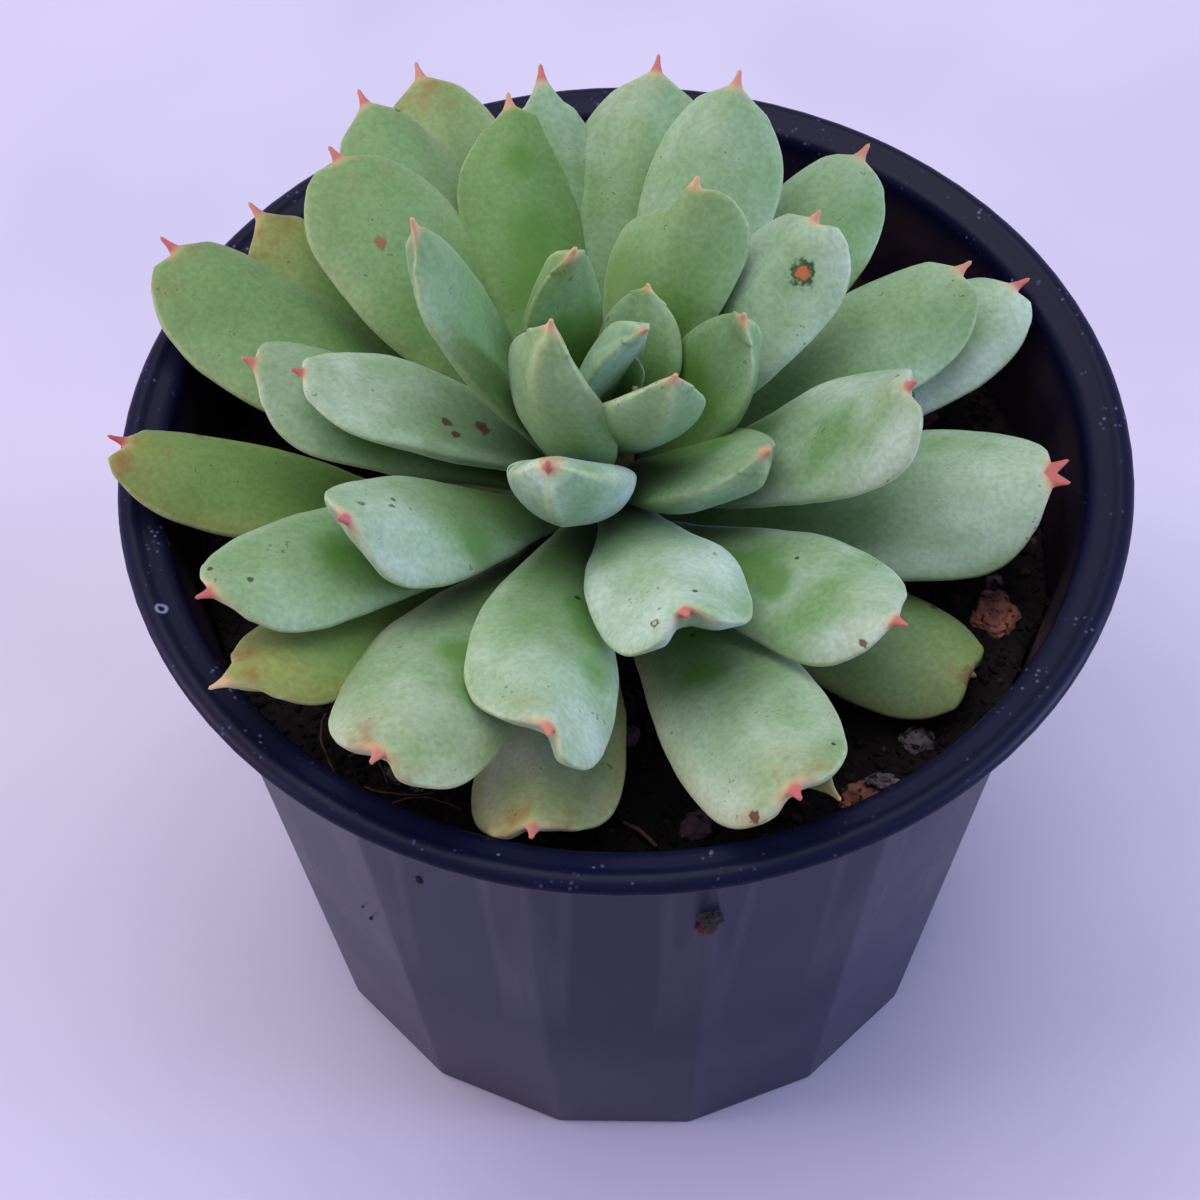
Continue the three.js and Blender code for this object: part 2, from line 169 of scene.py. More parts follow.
def newTree(name, inputs):
    tree = bpy.data.node_groups.new(name, "GeometryNodeTree")
    tree.interface.new_socket("Surface", in_out="INPUT", socket_type="NodeSocketGeometry")
    kinds = {float: "NodeSocketFloat", int: "NodeSocketInt", tuple: "NodeSocketVector"}
    for label, value in inputs.items():
        kind = "NodeSocketMaterial" if value is None else kinds[type(value)]
        socket = tree.interface.new_socket(label, in_out="INPUT", socket_type=kind)
        if value is not None:
            socket.default_value = value
    tree.interface.new_socket("Geometry", in_out="OUTPUT", socket_type="NodeSocketGeometry")
    given = addNode(tree, "NodeGroupInput").outputs
    result = addNode(tree, "NodeGroupOutput").inputs["Geometry"]
    return tree, given, result


def finishTree(tree, result, geometry, material):
    real = addNode(tree, "GeometryNodeRealizeInstances")
    feed(real.inputs["Geometry"], geometry)
    painted = addNode(tree, "GeometryNodeSetMaterial")
    feed(painted.inputs["Geometry"], real.outputs["Geometry"])
    feed(painted.inputs["Material"], material)
    feed(result, painted.outputs["Geometry"])


def addPiece(name, mesh):
    piece = bpy.data.objects.new(name, mesh)
    scene.collection.objects.link(piece)
    return piece


def runTree(name, tree, values, surface=None):
    # the tree's result becomes a plain mesh, with no modifier left on it
    maker = addPiece(name + "Maker", surface or bpy.data.meshes.new(name + "Maker"))
    modifier = maker.modifiers.new("shape", "NODES")
    modifier.node_group = tree
    for item in tree.interface.items_tree:
        if item.in_out == "INPUT" and item.name in values:
            modifier[item.identifier] = values[item.name]
    depsgraph = bpy.context.evaluated_depsgraph_get()
    mesh = bpy.data.meshes.new_from_object(
        maker.evaluated_get(depsgraph), preserve_all_data_layers=True, depsgraph=depsgraph)
    mesh.name = name
    bpy.data.objects.remove(maker)
    return addPiece(name, mesh)


def settle(piece, slot, *nodes):
    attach(piece, "root")
    if nodes:
        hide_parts(*nodes)


# Stem

stem = {
    "start": (-3.5, -4.0, 66.0),  # a point on its axis
    "lean": (0.15, 0.128),  # sideways travel for each millimetre of height
    "radius": 4.1,
    "narrows": 75.0,
    "top": 84.0,
    "tip": 0.8,
    "foot": 52.0,  # its lower end, down in the soil
}


def stemAxis(height):
    climb = height - stem["start"][2]
    return Vector((stem["start"][0] + stem["lean"][0] * climb,
                   stem["start"][1] + stem["lean"][1] * climb, height))


def stemRadius(height):
    share = min(max((height - stem["narrows"]) / (stem["top"] - stem["narrows"]), 0), 1)
    return stem["radius"] + (stem["tip"] - stem["radius"]) * share * share * (3 - 2 * share)


def makeStem():
    material, tree, shader, place = newMaterial("scarredStem")
    tone = mixColour(tree, noise(tree, place, 300.0, 4.0, 0.6), colour(84, 92, 56), colour(140, 132, 92))
    feed(shader.inputs["Base Color"], tone)
    feed(shader.inputs["Roughness"], 0.8)
    addBump(tree, shader, noise(tree, place, 700.0, 3.0), 0.5, 0.2 * mm)
    rings = []
    count = 48
    for step in range(33):
        height = stem["foot"] + (stem["top"] - stem["foot"]) * step / 32
        axis = stemAxis(height)
        scar = 1 + 0.025 * math.sin(height * 2.6)  # rings left by fallen leaves
        radius = stemRadius(height) * scar * mm
        turns = [2 * math.pi * i / count for i in range(count)]
        rings.append([axis * mm + Vector((math.cos(turn), math.sin(turn), 0)) * radius for turn in turns])
    data = loft("leaningStem", rings)
    data.materials.append(material)
    data.shade_smooth()
    settle(addPiece("leaningStem", data), "stem", "stem")


# Leaves, in millimetres and degrees, from the oldest at the bottom to the heart

leafShape = {
    "rootShare": 0.3,  # width at the stem, as a share of the widest
    "heartRootShare": 0.55,
    "heartHeight": 77.5,  # leaves that start above this are of the heart
    "blunt": 2.4,
    "heartBlunt": 1.7,
    "plumpBlunt": 1.5,
    "widest": 0.7,  # share of the length where the leaf is widest
    "plumpWidest": 0.55,
    "cup": -0.1,  # the margins lie this share of the half width below the midrib
    "heartCup": 0.12,
    "keel": 0.45,
    "heartKeel": 0.75,
    "foldStart": 0.55,  # share of the length where the face begins to fold down
    "lobeStart": 0.72,
    "bladeEnd": 0.955,  # where the rounded end of the blade closes
    "spikeStart": 0.92,
    "spikeFoot": 0.93,  # where the spike has its full width
    "spikeFlare": 2.2,
    "thinnest": 0.22,
    "thickness": 4 / 14,  # thickness at height 1 of the two lines below, as a share of the width
    "face": [(0, 0.2), (0.3, 0.275), (0.7, 0.35), (0.9, 0.225), (0.955, 0.12), (1, 0.05)],
    "back": [(0, 0.3), (0.2, 0.5), (0.5, 0.8), (0.75, 0.85), (0.9, 0.55), (0.955, 0.16), (1, 0.05)],
    "twist": 6,  # most degrees that a tip turns either way
    "wobble": 0.45,
    "around": 44,
    "rings": 84,
}

# height on the stem, then (turn, rise, bend, length, width, roll, sway) for each leaf
whorls = [
    (67, [(-57, 17, 2, 42, 8.5, 0, -1), (32, 16, 0, 48.5, 14.5, 0, -3), (139, 14, 12, 47, 13, 0, -0.5),
          (83, 30, 3, 48, 15.5, 6, -1), (-136, 33, -11, 47, 11.5, 0, 0), (-177, 17, 12, 46, 12.5, 6, -2),
          (-96, 19, 0, 40, 14, 6, 0), (-25, 10, -12, 39.5, 13.5, 4, 0)]),
    (69.5, [(114.5, 16, 0, 53, 15.5, 4, -3), (100, 25, 7, 45.5, 11.5, 0, -1.5),
            (156, 14, 13, 49, 16, 6, -3.5), (54, 23, 2, 45, 14, 0, -1.5), (-2, 11, 6, 43.5, 17.5, 4, 1),
            (-62, 18, 9, 45, 15.5, 9, -3)]),
    (72, [(126, 22, 0, 47.5, 14, 5, -3.5), (131.5, 29, 0, 42, 15.5, 0, 0.5), (67, 32, 7, 43, 14, -2, 1.5),
          (28, 19, 2, 41, 14, -3, 1), (-119, 26, -4, 44.5, 16.5, 3, 3.5), (-41, 30, -11, 36.5, 14, 3, 0.5),
          (-149, 35, -15, 44, 13.5, 0, 3.5)]),
    (75, [(178, 29, 0, 34.5, 13, 4, -1.5), (-105, 25, 1, 38.5, 14.5, -14, 6.5),
          (111, 21, 5, 39.5, 13, 8, -4.5), (39, 43, -4, 31.5, 13.5, 0, 1), (-6, 27, 25, 33, 14.5, 3, 0),
          (-139, 34, 11, 34, 13, -10, 0)]),
    (77, [(-74, 33, -3, 29, 14.5, 0, 0), (70, 48, 4, 28, 13.5, -8, -1.5)]),
    (79, [(-177, 28, 0, 30.5, 12, 7, -1), (133, 50, 52, 23, 10, -3, -3.5), (176, 54, 22, 35, 11, 0, -1.5),
          (-108, 46, 18, 21.5, 12, 12, -0.5), (-39, 33, 14, 18.5, 12, -2, 3.5), (15, 36, 45, 21, 11, 11, 0.5),
          (-132, 68, 29, 26, 12, 6, -1)]),
    (82, [(61, 43, 14, 14.5, 9, 5, 2), (137, 78, 49, 17, 8, -2, -2.5), (-67, 58, 15, 22.5, 10.5, -15, 2)]),
    (84, [(54, 72, 10, 8.5, 3.5, 0, 0), (-10, 70, 20, 6, 3, 0, 0)]),
]

# fold of the tip, then millimetres that the left and right lobes reach past the foot of the spike
tips = {
    1: (0.2, -1.5, -1.5), 2: (0.3, 0, 1.2), 3: (0.25, -0.6, -0.6), 4: (0.3, -0.4, -0.6),
    5: (0.25, -1.8, -1.8), 6: (0.35, 2.2, -0.6), 7: (0.4, -0.3, 1.4), 8: (0.25, 0.3, 0.3),
    9: (0.2, -0.4, -0.2), 10: (0.25, -1.6, -1.6), 11: (0.3, 1.5, -0.5), 12: (0.3, 0.2, 0.1),
    13: (0.35, 0.3, -0.4),
    14: (0.35, 0.9, 1.1), 15: (0.25, -0.4, -0.4), 16: (0.25, 0.9, -0.2), 17: (0.3, -0.4, -0.4),
    18: (0.4, -0.3, 1.0), 19: (0.35, 1.9, 0.9), 20: (0.25, -0.5, 0.3), 21: (0.2, -0.6, 0.6),
    22: (0.2, -0.3, 0.3), 23: (0.45, 3.0, 0.3), 24: (0.25, -0.6, -0.4), 25: (0.4, -0.2, 1.5),
    26: (0.45, -0.3, 1.6), 27: (0.3, -0.4, 0.6), 28: (0.5, 2.2, 2.6), 29: (0.45, -2.4, 0.6),
    30: (0.25, 0.4, 0.4), 31: (0.2, -0.3, -0.3), 32: (0.3, -1.2, -1.2), 33: (0.2, 0.3, 0.3),
    34: (0.2, -0.5, -0.5), 35: (0.25, -0.5, -0.5), 36: (0.25, -0.6, -0.6), 37: (0.25, -0.3, -0.3),
    38: (0.2, -0.5, -0.5), 39: (0.2, -0.4, -0.4), 40: (0.2, -0.3, -0.3), 41: (0.2, -0.3, -0.3),
}

forks = {13: 1.3}  # a split spike, and how far its points stand off the midrib
stubs = {8: 2.0}  # a spike that has dried back, and by how much

# leaves of the heart that are pointed, and how many times as thick as the others
plump = {31: 1.2, 33: 1.55, 34: 1.2, 35: 1.2, 36: 1.1, 37: 1.1, 38: 1.3, 39: 0.95}

# how far a leaf has yellowed, how far it is rubbed, how red its spike is and how thick its bloom, 0 to 1
# the bloom figure also carries painted shade, low on leaves 5, 6 and 24, and painted light, high on leaves 7
# and 30
skins = {
    1: (0.7, 0, 0.1, 0.4), 2: (0.05, 0, 0.8, 0.9), 3: (0.7, 0, 0.6, 0.2), 4: (0.15, 0.1, 0.8, 0.6),
    5: (0.95, 0.2, 0.1, 0), 6: (0.6, 0.2, 1, 0), 7: (0.85, 0.4, 0.7, 0.9), 8: (0.5, 0.2, 0.2, 0.4),
    9: (0.5, 0.1, 0.6, 0.4), 10: (0, 0, 0.8, 0.6), 11: (0.2, 0.1, 0.9, 0.35), 12: (0.05, 0, 0.6, 0.55),
    13: (0.1, 0.4, 0.9, 0.8), 14: (0.4, 0.3, 0.9, 0.9), 15: (0.15, 0, 0.8, 0.4), 16: (0.25, 0.1, 0.8, 0.35),
    17: (0.05, 0.1, 0.5, 0.6), 18: (0.1, 0.2, 0.5, 0.65), 19: (0.4, 0.2, 0.7, 0.75), 20: (0.2, 0.3, 0.8, 1),
    21: (0.1, 0.3, 0.9, 0.5), 22: (0.1, 0.5, 0.7, 0.6), 23: (0.15, 0.3, 0.7, 0.8),
    24: (0.1, 0.5, 0.4, 0.15), 25: (0.1, 0.1, 0.5, 0.85), 26: (0.15, 0.1, 0.7, 1), 27: (0.1, 0.2, 0.9, 0.7),
    28: (0.05, 0.3, 0.8, 1), 29: (0.15, 0.8, 0.2, 0.35), 30: (0.1, 0.2, 0.9, 0.9), 31: (0.2, 0.9, 0.1, 0.25),
    32: (0.1, 0.5, 0.2, 0.4), 33: (0, 0, 1, 1), 34: (0.1, 0.6, 0.3, 0.55), 35: (0.1, 0.8, 0.2, 0.4),
    36: (0.15, 0.5, 0.1, 0.5), 37: (0.1, 0.7, 0.1, 0.5), 38: (0, 0.4, 0.2, 0.7), 39: (0.1, 0.8, 0.2, 0.5),
    40: (0.1, 0.6, 0.4, 0.4), 41: (0.1, 0.6, 0.4, 0.4),
}


def makeLeafTree():
    # the leaf is a flat grid, one way round the leaf and the other way along it, that is bent to shape
    tree, given, result = newTree("echeveriaLeaf", {
        "Length": 0.04, "Width": 0.014, "Turn": 0.0, "Rise": 0.4, "Bend": 0.1, "Roll": 0.0, "Twist": 0.0,
        "Sway": 0.0, "Root": (0.0, 0.0, 0.07), "Root Radius": 0.004, "Root Share": 0.3, "Blunt": 2.4,
        "Widest": 0.7, "Plump": 1.0, "Cup": -0.1, "Fold": 0.25, "Left Lobe": 0.0, "Right Lobe": 0.0,
        "Fork": 0.0, "Stub": 0.0, "Keel": 0.5, "Wobble": 0.0004, "Seed": 1.0, "Age": 0.0, "Rubbed": 0.0,
        "Ripe": 0.5, "Bloom": 0.5, "Around": 44, "Rings": 84, "Skin": None})
    calc, times, plus, minus, ramp = sumsOf(tree)
    shape = leafShape
    foot = shape["spikeFoot"]
    thinnest = shape["thinnest"] * mm

    grid = addNode(tree, "GeometryNodeMeshGrid")
    feed(grid.inputs["Size X"], 1)
    feed(grid.inputs["Size Y"], 1)
    feed(grid.inputs["Vertices X"], plus(given["Around"], 1))
    feed(grid.inputs["Vertices Y"], given["Rings"])
    flat = addNode(tree, "ShaderNodeSeparateXYZ")
    feed(flat.inputs[0], addNode(tree, "GeometryNodeInputPosition").outputs[0])
    angle = times(plus(flat.outputs["X"], 0.5), 2 * math.pi)
    across = calc("COSINE", angle)
    upper = calc("SINE", angle)
    step = plus(flat.outputs["Y"], 0.5)
    share = times(step, calc("MULTIPLY_ADD", step, -0.45, 1.45))  # rings crowd to the tip
    closed = times(calc("GREATER_THAN", step, 0.001), calc("LESS_THAN", step, 0.999))
    halfWidth = times(given["Width"], 0.5)

    # outline: widening from the root, rounded shoulders, then the flare of the spike
    widen = ramp(share, 0.0, given["Widest"], given["Root Share"], 1.0, smooth=True)
    shoulder = ramp(share, given["Widest"], shape["bladeEnd"])
    rounding = calc("SQRT", minus(1.0, calc("POWER", shoulder, given["Blunt"])))
    blade = times(widen, rounding, halfWidth)
    flare = times(calc("MINIMUM", shape["spikeFlare"] * mm, calc("DIVIDE", given["Width"], 6.0)),
                  calc("POWER", minus(1.0, ramp(share, shape["spikeStart"], 1.0)), 2.2))
    spike = times(plus(flare, thinnest), ramp(share, 0.89, foot, smooth=True))
    half = calc("POWER", plus(calc("POWER", blade, 3.0), calc("POWER", spike, 3.0)), 1 / 3)
    half = times(half, closed)

    def thickness(points):
        curve = addNode(tree, "ShaderNodeFloatCurve")
        line = curve.mapping.curves[0]
        line.points[0].location = points[0]
        line.points[1].location = points[-1]
        for point in points[1:-1]:
            line.points.new(*point)
        curve.mapping.update()
        feed(curve.inputs["Value"], share)
        scaled = times(curve.outputs[0], times(given["Width"], shape["thickness"]), given["Plump"])
        return times(calc("MAXIMUM", scaled, thinnest), closed)

    # the face is a low arch, and the back has a keel towards the tip
    keel = times(given["Keel"], ramp(share, 0.45, 0.92, smooth=True))
    ridge = minus(1.0, calc("ABSOLUTE", across))
    bowl = calc("ABSOLUTE", upper)
    isFace = calc("GREATER_THAN", upper, 0.0)
    height = minus(times(thickness(shape["face"]), upper, isFace),
                   times(thickness(shape["back"]), plus(bowl, times(keel, minus(ridge, bowl))),
                         minus(1.0, isFace)))
    cupping = times(ramp(share, 0.0, 0.3, smooth=True), ramp(share, 0.86, 0.97, 1.0, 0.2, smooth=True))
    wide = calc("DIVIDE", times(half, across), halfWidth)
    lift = times(given["Cup"], halfWidth, cupping, wide, wide)
    # near the tip the face folds down on both sides of a low ridge
    folding = times(ramp(share, shape["foldStart"], foot, smooth=True), given["Fold"],
                    calc("POWER", calc("ABSOLUTE", wide), 1.3))
    height = plus(height, minus(lift, times(folding, halfWidth)))
    split = times(ramp(share, 0.91, 1.0, smooth=True), given["Fork"])
    sideways = times(plus(half, split), across)
    # a lobe on either side reaches past the foot of the spike, or falls short of it
    isLeft = calc("GREATER_THAN", across, 0.0)
    lobe = plus(times(given["Left Lobe"], isLeft), times(given["Right Lobe"], minus(1.0, isLeft)))
    lobe = times(lobe, ramp(share, shape["lobeStart"], foot, smooth=True),
                 ramp(calc("ABSOLUTE", wide), 0.06, 0.36, smooth=True))
    dried = times(ramp(share, shape["spikeStart"], 1.0, smooth=True), given["Stub"])
    lobe = minus(lobe, times(split, ridge), dried)

    # the section rolls about the midrib, which climbs on an arc away from the stem
    roll = plus(given["Roll"], times(given["Twist"], calc("POWER", share, 3.0)))
    sideRolled = minus(times(sideways, calc("COSINE", roll)), times(height, calc("SINE", roll)))
    heightRolled = plus(times(sideways, calc("SINE", roll)), times(height, calc("COSINE", roll)))
    slope = plus(given["Rise"], times(given["Bend"], share))
    arc = calc("DIVIDE", given["Length"], given["Bend"])
    out = plus(given["Root Radius"], times(arc, minus(calc("SINE", slope), calc("SINE", given["Rise"]))))
    up = times(arc, minus(calc("COSINE", given["Rise"]), calc("COSINE", slope)))
    out = plus(out, times(lobe, calc("COSINE", slope)))
    up = plus(up, times(lobe, calc("SINE", slope)))
    place = addNode(tree, "ShaderNodeCombineXYZ")
    feed(place.inputs["X"], minus(out, times(heightRolled, calc("SINE", slope))))
    feed(place.inputs["Y"], plus(sideRolled, times(given["Sway"], share, share)))
    feed(place.inputs["Z"], plus(up, times(heightRolled, calc("COSINE", slope))))
    turned = addNode(tree, "ShaderNodeVectorRotate", rotation_type="Z_AXIS")
    feed(turned.inputs["Vector"], place.outputs[0])
    feed(turned.inputs["Angle"], given["Turn"])

    # what the skin's material reads goes with the points
    geometry = grid.outputs["Mesh"]
    for label, value in (("along", share), ("across", across), ("upper", upper), ("age", given["Age"]),
                         ("rubbed", given["Rubbed"]), ("ripe", given["Ripe"]), ("bloom", given["Bloom"])):
        store = addNode(tree, "GeometryNodeStoreNamedAttribute", data_type="FLOAT", domain="POINT")
        feed(store.inputs["Name"], label)
        feed(store.inputs["Geometry"], geometry)
        feed(store.inputs["Value"], value)
        geometry = store.outputs["Geometry"]
    shaped = addNode(tree, "GeometryNodeSetPosition")
    feed(shaped.inputs["Geometry"], geometry)
    feed(shaped.inputs["Position"], vectorMath(tree, "ADD", turned.outputs[0], given["Root"]))
    merged = addNode(tree, "GeometryNodeMergeByDistance")
    feed(merged.inputs["Distance"], 0.01 * mm)
    feed(merged.inputs["Geometry"], shaped.outputs["Geometry"])

    # uneven, as grown
    spot = addNode(tree, "GeometryNodeInputPosition").outputs[0]
    seeded = vectorMath(tree, "ADD", spot, scaleVector(tree, (0.31, 0.17, 0.23), given["Seed"]))
    uneven = minus(noise(tree, seeded, 105.0, 2.0), 0.5)
    push = times(uneven, 2.0, given["Wobble"])
    along = addNode(tree, "GeometryNodeInputNamedAttribute", data_type="FLOAT")
    feed(along.inputs["Name"], "along")
    push = times(push, ramp(along.outputs["Attribute"], 0.86, 0.95, 1.0, 0.15))
    wavy = addNode(tree, "GeometryNodeSetPosition")
    feed(wavy.inputs["Geometry"], merged.outputs["Geometry"])
    feed(wavy.inputs["Offset"], scaleVector(tree, addNode(tree, "GeometryNodeInputNormal").outputs[0], push))
    smooth = addNode(tree, "GeometryNodeSetShadeSmooth")
    feed(smooth.inputs["Geometry"], wavy.outputs["Geometry"])
    finishTree(tree, result, smooth.outputs["Geometry"], given["Skin"])
    return tree


leafColours = {
    "flesh": colour(72, 120, 34),  # where the bloom is rubbed off
    # painted shade: the dark green of the flesh towards the root, where the leaves shade each other
    "paintedBaseShade": colour(30, 62, 20),
    "bloom": colour(112, 151, 98),
    "bloomCool": colour(176, 200, 182),
    "yellow": colour(146, 146, 76),
    # painted highlight along the leaf margins and the keel of the back
    "paintedEdgeHighlight": colour(184, 200, 140),
    "spikeRed": colour(178, 80, 84),
    "rust": colour(142, 100, 48),
    "spikeCream": colour(196, 170, 124),
}


# patches where the bloom is rubbed off, by leaf: share of its length, side to side from -1 to 1, and
# size in millimetres
rubsAndShade = {
    13: [(0.45, 0.5, 4.4)], 14: [(0.53, -0.17, 4), (0.4, 0.1, 4.4)],
    19: [(0.62, 0.1, 3.6), (0.7, 0.4, 3), (0.45, 0.1, 3.6)],
    20: [(0.53, 0.05, 4.4), (0.42, -0.4, 4.4), (0.62, -0.25, 2.6)],
    21: [(0.65, 0.15, 4.2), (0.55, 0.7, 3.6), (0.45, 0.2, 4)], 22: [(0.6, 0.5, 4.5)],
    23: [(0.46, 0.4, 3.4), (0.56, 0.55, 3.4), (0.66, 0.65, 3.2)],
    # on leaf 24 the patches also paint the shade along the middle of the leaf
    24: [(0.62, 0.05, 4.2), (0.48, 0.2, 4.6), (0.36, 0.2, 4), (0.8, 0, 3.2)], 25: [(0.5, 0.2, 4)],
    27: [(0.5, 0.7, 4.2)], 29: [(0.6, 0.6, 5), (0.45, 0.3, 5)], 31: [(0.6, 0.2, 3)], 34: [(0.6, 0.4, 3)],
    35: [(0.5, 0.2, 3.6)],
}

# marks by leaf, placed in the same way, and their colours
marks = {
    6: [(0.79, -0.87, 0.7, (96, 92, 58))],
    8: [(0.77, 0.9, 0.4, (66, 76, 44)), (0.94, -0.3, 1.3, (122, 112, 66))],
    14: [(0.91, -0.9, 0.75, (74, 50, 26)), (0.86, 0.8, 0.3, (34, 36, 28)),
         (0.4, 0.09, 0.3, (34, 36, 28))], 15: [(0.93, -0.87, 0.4, (70, 84, 60))],
    16: [(0.73, 0.26, 0.75, (128, 92, 60))],
    20: [(0.61, 0.34, 0.3, (60, 70, 40)), (0.92, -0.8, 0.5, (104, 74, 42))],
    21: [(0.92, -0.7, 0.4, (62, 54, 40)), (0.88, 0.09, 0.35, (62, 66, 40))],
    23: [(0.43, 0.26, 0.4, (22, 24, 16))],
    25: [(0.8, -0.42, 1.5, (40, 66, 24)), (0.8, -0.42, 0.85, (176, 104, 58))],
    26: [(0.92, 0.5, 0.35, (98, 76, 50))],
    27: [(0.88, -0.26, 0.45, (84, 98, 58)), (0.75, -0.34, 0.4, (84, 98, 58)),
         (0.78, -0.09, 0.4, (84, 98, 58))],
    28: [(0.89, -0.5, 0.55, (84, 62, 42)), (0.89, -0.5, 0.3, (150, 176, 140)),
         (0.85, 0.34, 0.35, (60, 62, 40))],
    30: [(0.49, 0.26, 0.65, (84, 54, 34)), (0.47, 0.5, 0.55, (82, 54, 34)),
         (0.37, 0.09, 0.9, (78, 50, 32))],
    33: [(0.7, -0.95, 0.5, (40, 44, 40)), (0.93, 0, 1.7, (172, 158, 112))],
}
markSlots = 3  # the most marks on one leaf
noMark = (0, 0, 0.001, (72, 120, 34))


def makeLeafSkin():
    material, tree, shader, place = newMaterial("waxyLeafSkin")
    calc, times, plus, minus, ramp = sumsOf(tree)
    along, signedAcross, upper, age, bloom = (
        attributeValue(tree, name) for name in ("along", "across", "upper", "age", "bloom"))
    across = calc("ABSOLUTE", signedAcross)
    tint = leafColours

    # bloom lies thickest towards the tip and the margins, and is rubbed off in patches on some leaves
    broad = noise(tree, place, 90.0, 2.0, 0.55)
    patch = times(ramp(along, 0.82, 0.42, smooth=True), ramp(across, 0.97, 0.55, smooth=True))
    patch = times(patch, ramp(broad, 0.38, 0.53, smooth=True))
    patch = times(patch, times(attributeValue(tree, "rubbed"), ramp(upper, -0.2, 0.3)))
    lengthwise = addNode(tree, "ShaderNodeCombineXYZ")
    feed(lengthwise.inputs["X"], times(signedAcross, 4.0))
    feed(lengthwise.inputs["Y"], along)
    feed(lengthwise.inputs["Z"], times(bloom, 9.0))
    streak = noise(tree, lengthwise.outputs[0], 1.6, 2.0)
    # painted shade: towards the root the flesh darkens and the bloom thins, where the leaves shade each other
    # at their bases
    fleshWithBaseShade = mixColour(tree, ramp(along, 0.05, 0.55), tint["paintedBaseShade"], tint["flesh"])
    cool = times(ramp(bloom, 0.2, 1.0), ramp(broad, 0.3, 0.62))
    bloomMix = mixColour(tree, cool, tint["bloom"], tint["bloomCool"])
    edge = ramp(across, 0.6, 0.98, smooth=True)
    cover = plus(ramp(along, 0.15, 0.85, 0.1, 0.85, smooth=True), times(edge, 0.25))
    # the bloom figure scales the whole cover, so a low figure darkens a leaf as painted shade and a high one
    # brightens it as painted light
    cover = times(cover, ramp(bloom, 0.0, 1.0, 0.6, 1.25))
    fine = noise(tree, place, 260.0, 2.0, 0.62)
    cover = times(cover, ramp(fine, 0.28, 0.72, 0.9, 1.06))
    cover = times(cover, ramp(streak, 0.32, 0.68, 0.93, 1.04))
    cover = times(cover, minus(1.0, times(patch, 0.92)))
    skin = mixColour(tree, calc("MINIMUM", cover, 1.0), fleshWithBaseShade, bloomMix)

    # old leaves turn yellow, first at the tip and along the margins
    tipZone = ramp(along, 0.7, 0.95, smooth=True)
    yellowing = times(age, plus(0.35, calc("MAXIMUM", edge, tipZone)))
    yellowing = times(yellowing, ramp(broad, 0.3, 0.7, 0.6, 1.1))
    skin = mixColour(tree, times(calc("MINIMUM", yellowing, 1.0), 0.7), skin, tint["yellow"])
    # painted highlight: a pale line along the margins and down the keel of the back, where the edges catch
    # the light
    pale = times(ramp(across, 0.95, 1.0, smooth=True), ramp(along, 0.35, 0.9))
    ridge = times(ramp(across, 0.34, 0.0, smooth=True), ramp(along, 0.45, 0.9))
    ridge = times(ridge, ramp(upper, -0.8, -0.95))
    skin = mixColour(tree, times(calc("MAXIMUM", pale, ridge), 0.42), skin, tint["paintedEdgeHighlight"])
    rusty = times(ramp(along, 0.84, 0.93), ramp(fine, 0.46, 0.64))
    skin = mixColour(tree, times(rusty, ramp(age, 0.05, 0.5, 0.0, 0.8)), skin, tint["rust"])

    # a velvety grain, and tiny dark specks
    grain = noise(tree, place, 1700.0, 1.0, 0.6)
    skin = scaleVector(tree, skin, ramp(grain, 0.3, 0.7, 0.88, 1.1))
    speck = times(ramp(grain, 0.62, 0.7), ramp(fine, 0.6, 0.64))
    skin = mixColour(tree, times(speck, 0.6), skin, colour(58, 66, 38))

    # the spike, cream at its foot and red to tan at its point
    spike = mixColour(tree, attributeValue(tree, "ripe"), tint["spikeCream"], tint["spikeRed"])
    skin = mixColour(tree, times(ramp(along, 0.935, 0.958, smooth=True), 0.5),
                     skin, tint["spikeCream"])
    skin = mixColour(tree, ramp(along, 0.95, 0.968, smooth=True), skin, spike)

    # rubbed patches and marks, from what each leaf carries
    bare = times(attributeValue(tree, "bare"), ramp(fine, 0.35, 0.65, 0.75, 1.25))
    skin = mixColour(tree, ramp(bare, 0.05, 0.85, 0.0, 0.75, smooth=True), skin, tint["flesh"])
    for slot in range(markSlots):
        spot = addNode(tree, "ShaderNodeAttribute", attribute_name=f"markPlace{slot}").outputs["Vector"]
        size = attributeValue(tree, f"markSize{slot}")
        away = calc("DIVIDE", vectorMath(tree, "DISTANCE", place, spot), size)
        away = plus(away, ramp(grain, 0.3, 0.7, -0.25, 0.25))
        stain = addNode(tree, "ShaderNodeAttribute", attribute_name=f"markTone{slot}").outputs["Color"]
        skin = mixColour(tree, ramp(away, 1.0, 0.6, 0.0, 0.95, smooth=True), skin, stain)
    feed(shader.inputs["Base Color"], skin)
    feed(shader.inputs["Roughness"], ramp(patch, 0.0, 1.0, 0.58, 0.42))
    feed(shader.inputs["Specular IOR Level"], 0.32)
    feed(shader.inputs["Sheen Weight"], 0.16)
    feed(shader.inputs["Sheen Roughness"], 0.4)
    feed(shader.inputs["Sheen Tint"], (0.8, 0.95, 0.85, 1.0))
    addBump(tree, shader, grain, 0.3, 0.1 * mm)
    return material


def pointOn(blade, along, across):
    # the point of a leaf's face that is nearest to these shares of its length and width
    mesh = blade.data
    read = {name: mesh.attributes[name].data for name in ("along", "across", "upper")}
    face = [v for v in mesh.vertices if read["upper"][v.index].value >= 0]
    return min(face, key=lambda v: (3 * abs(read["along"][v.index].value - along)
                                    + abs(read["across"][v.index].value - across))).co


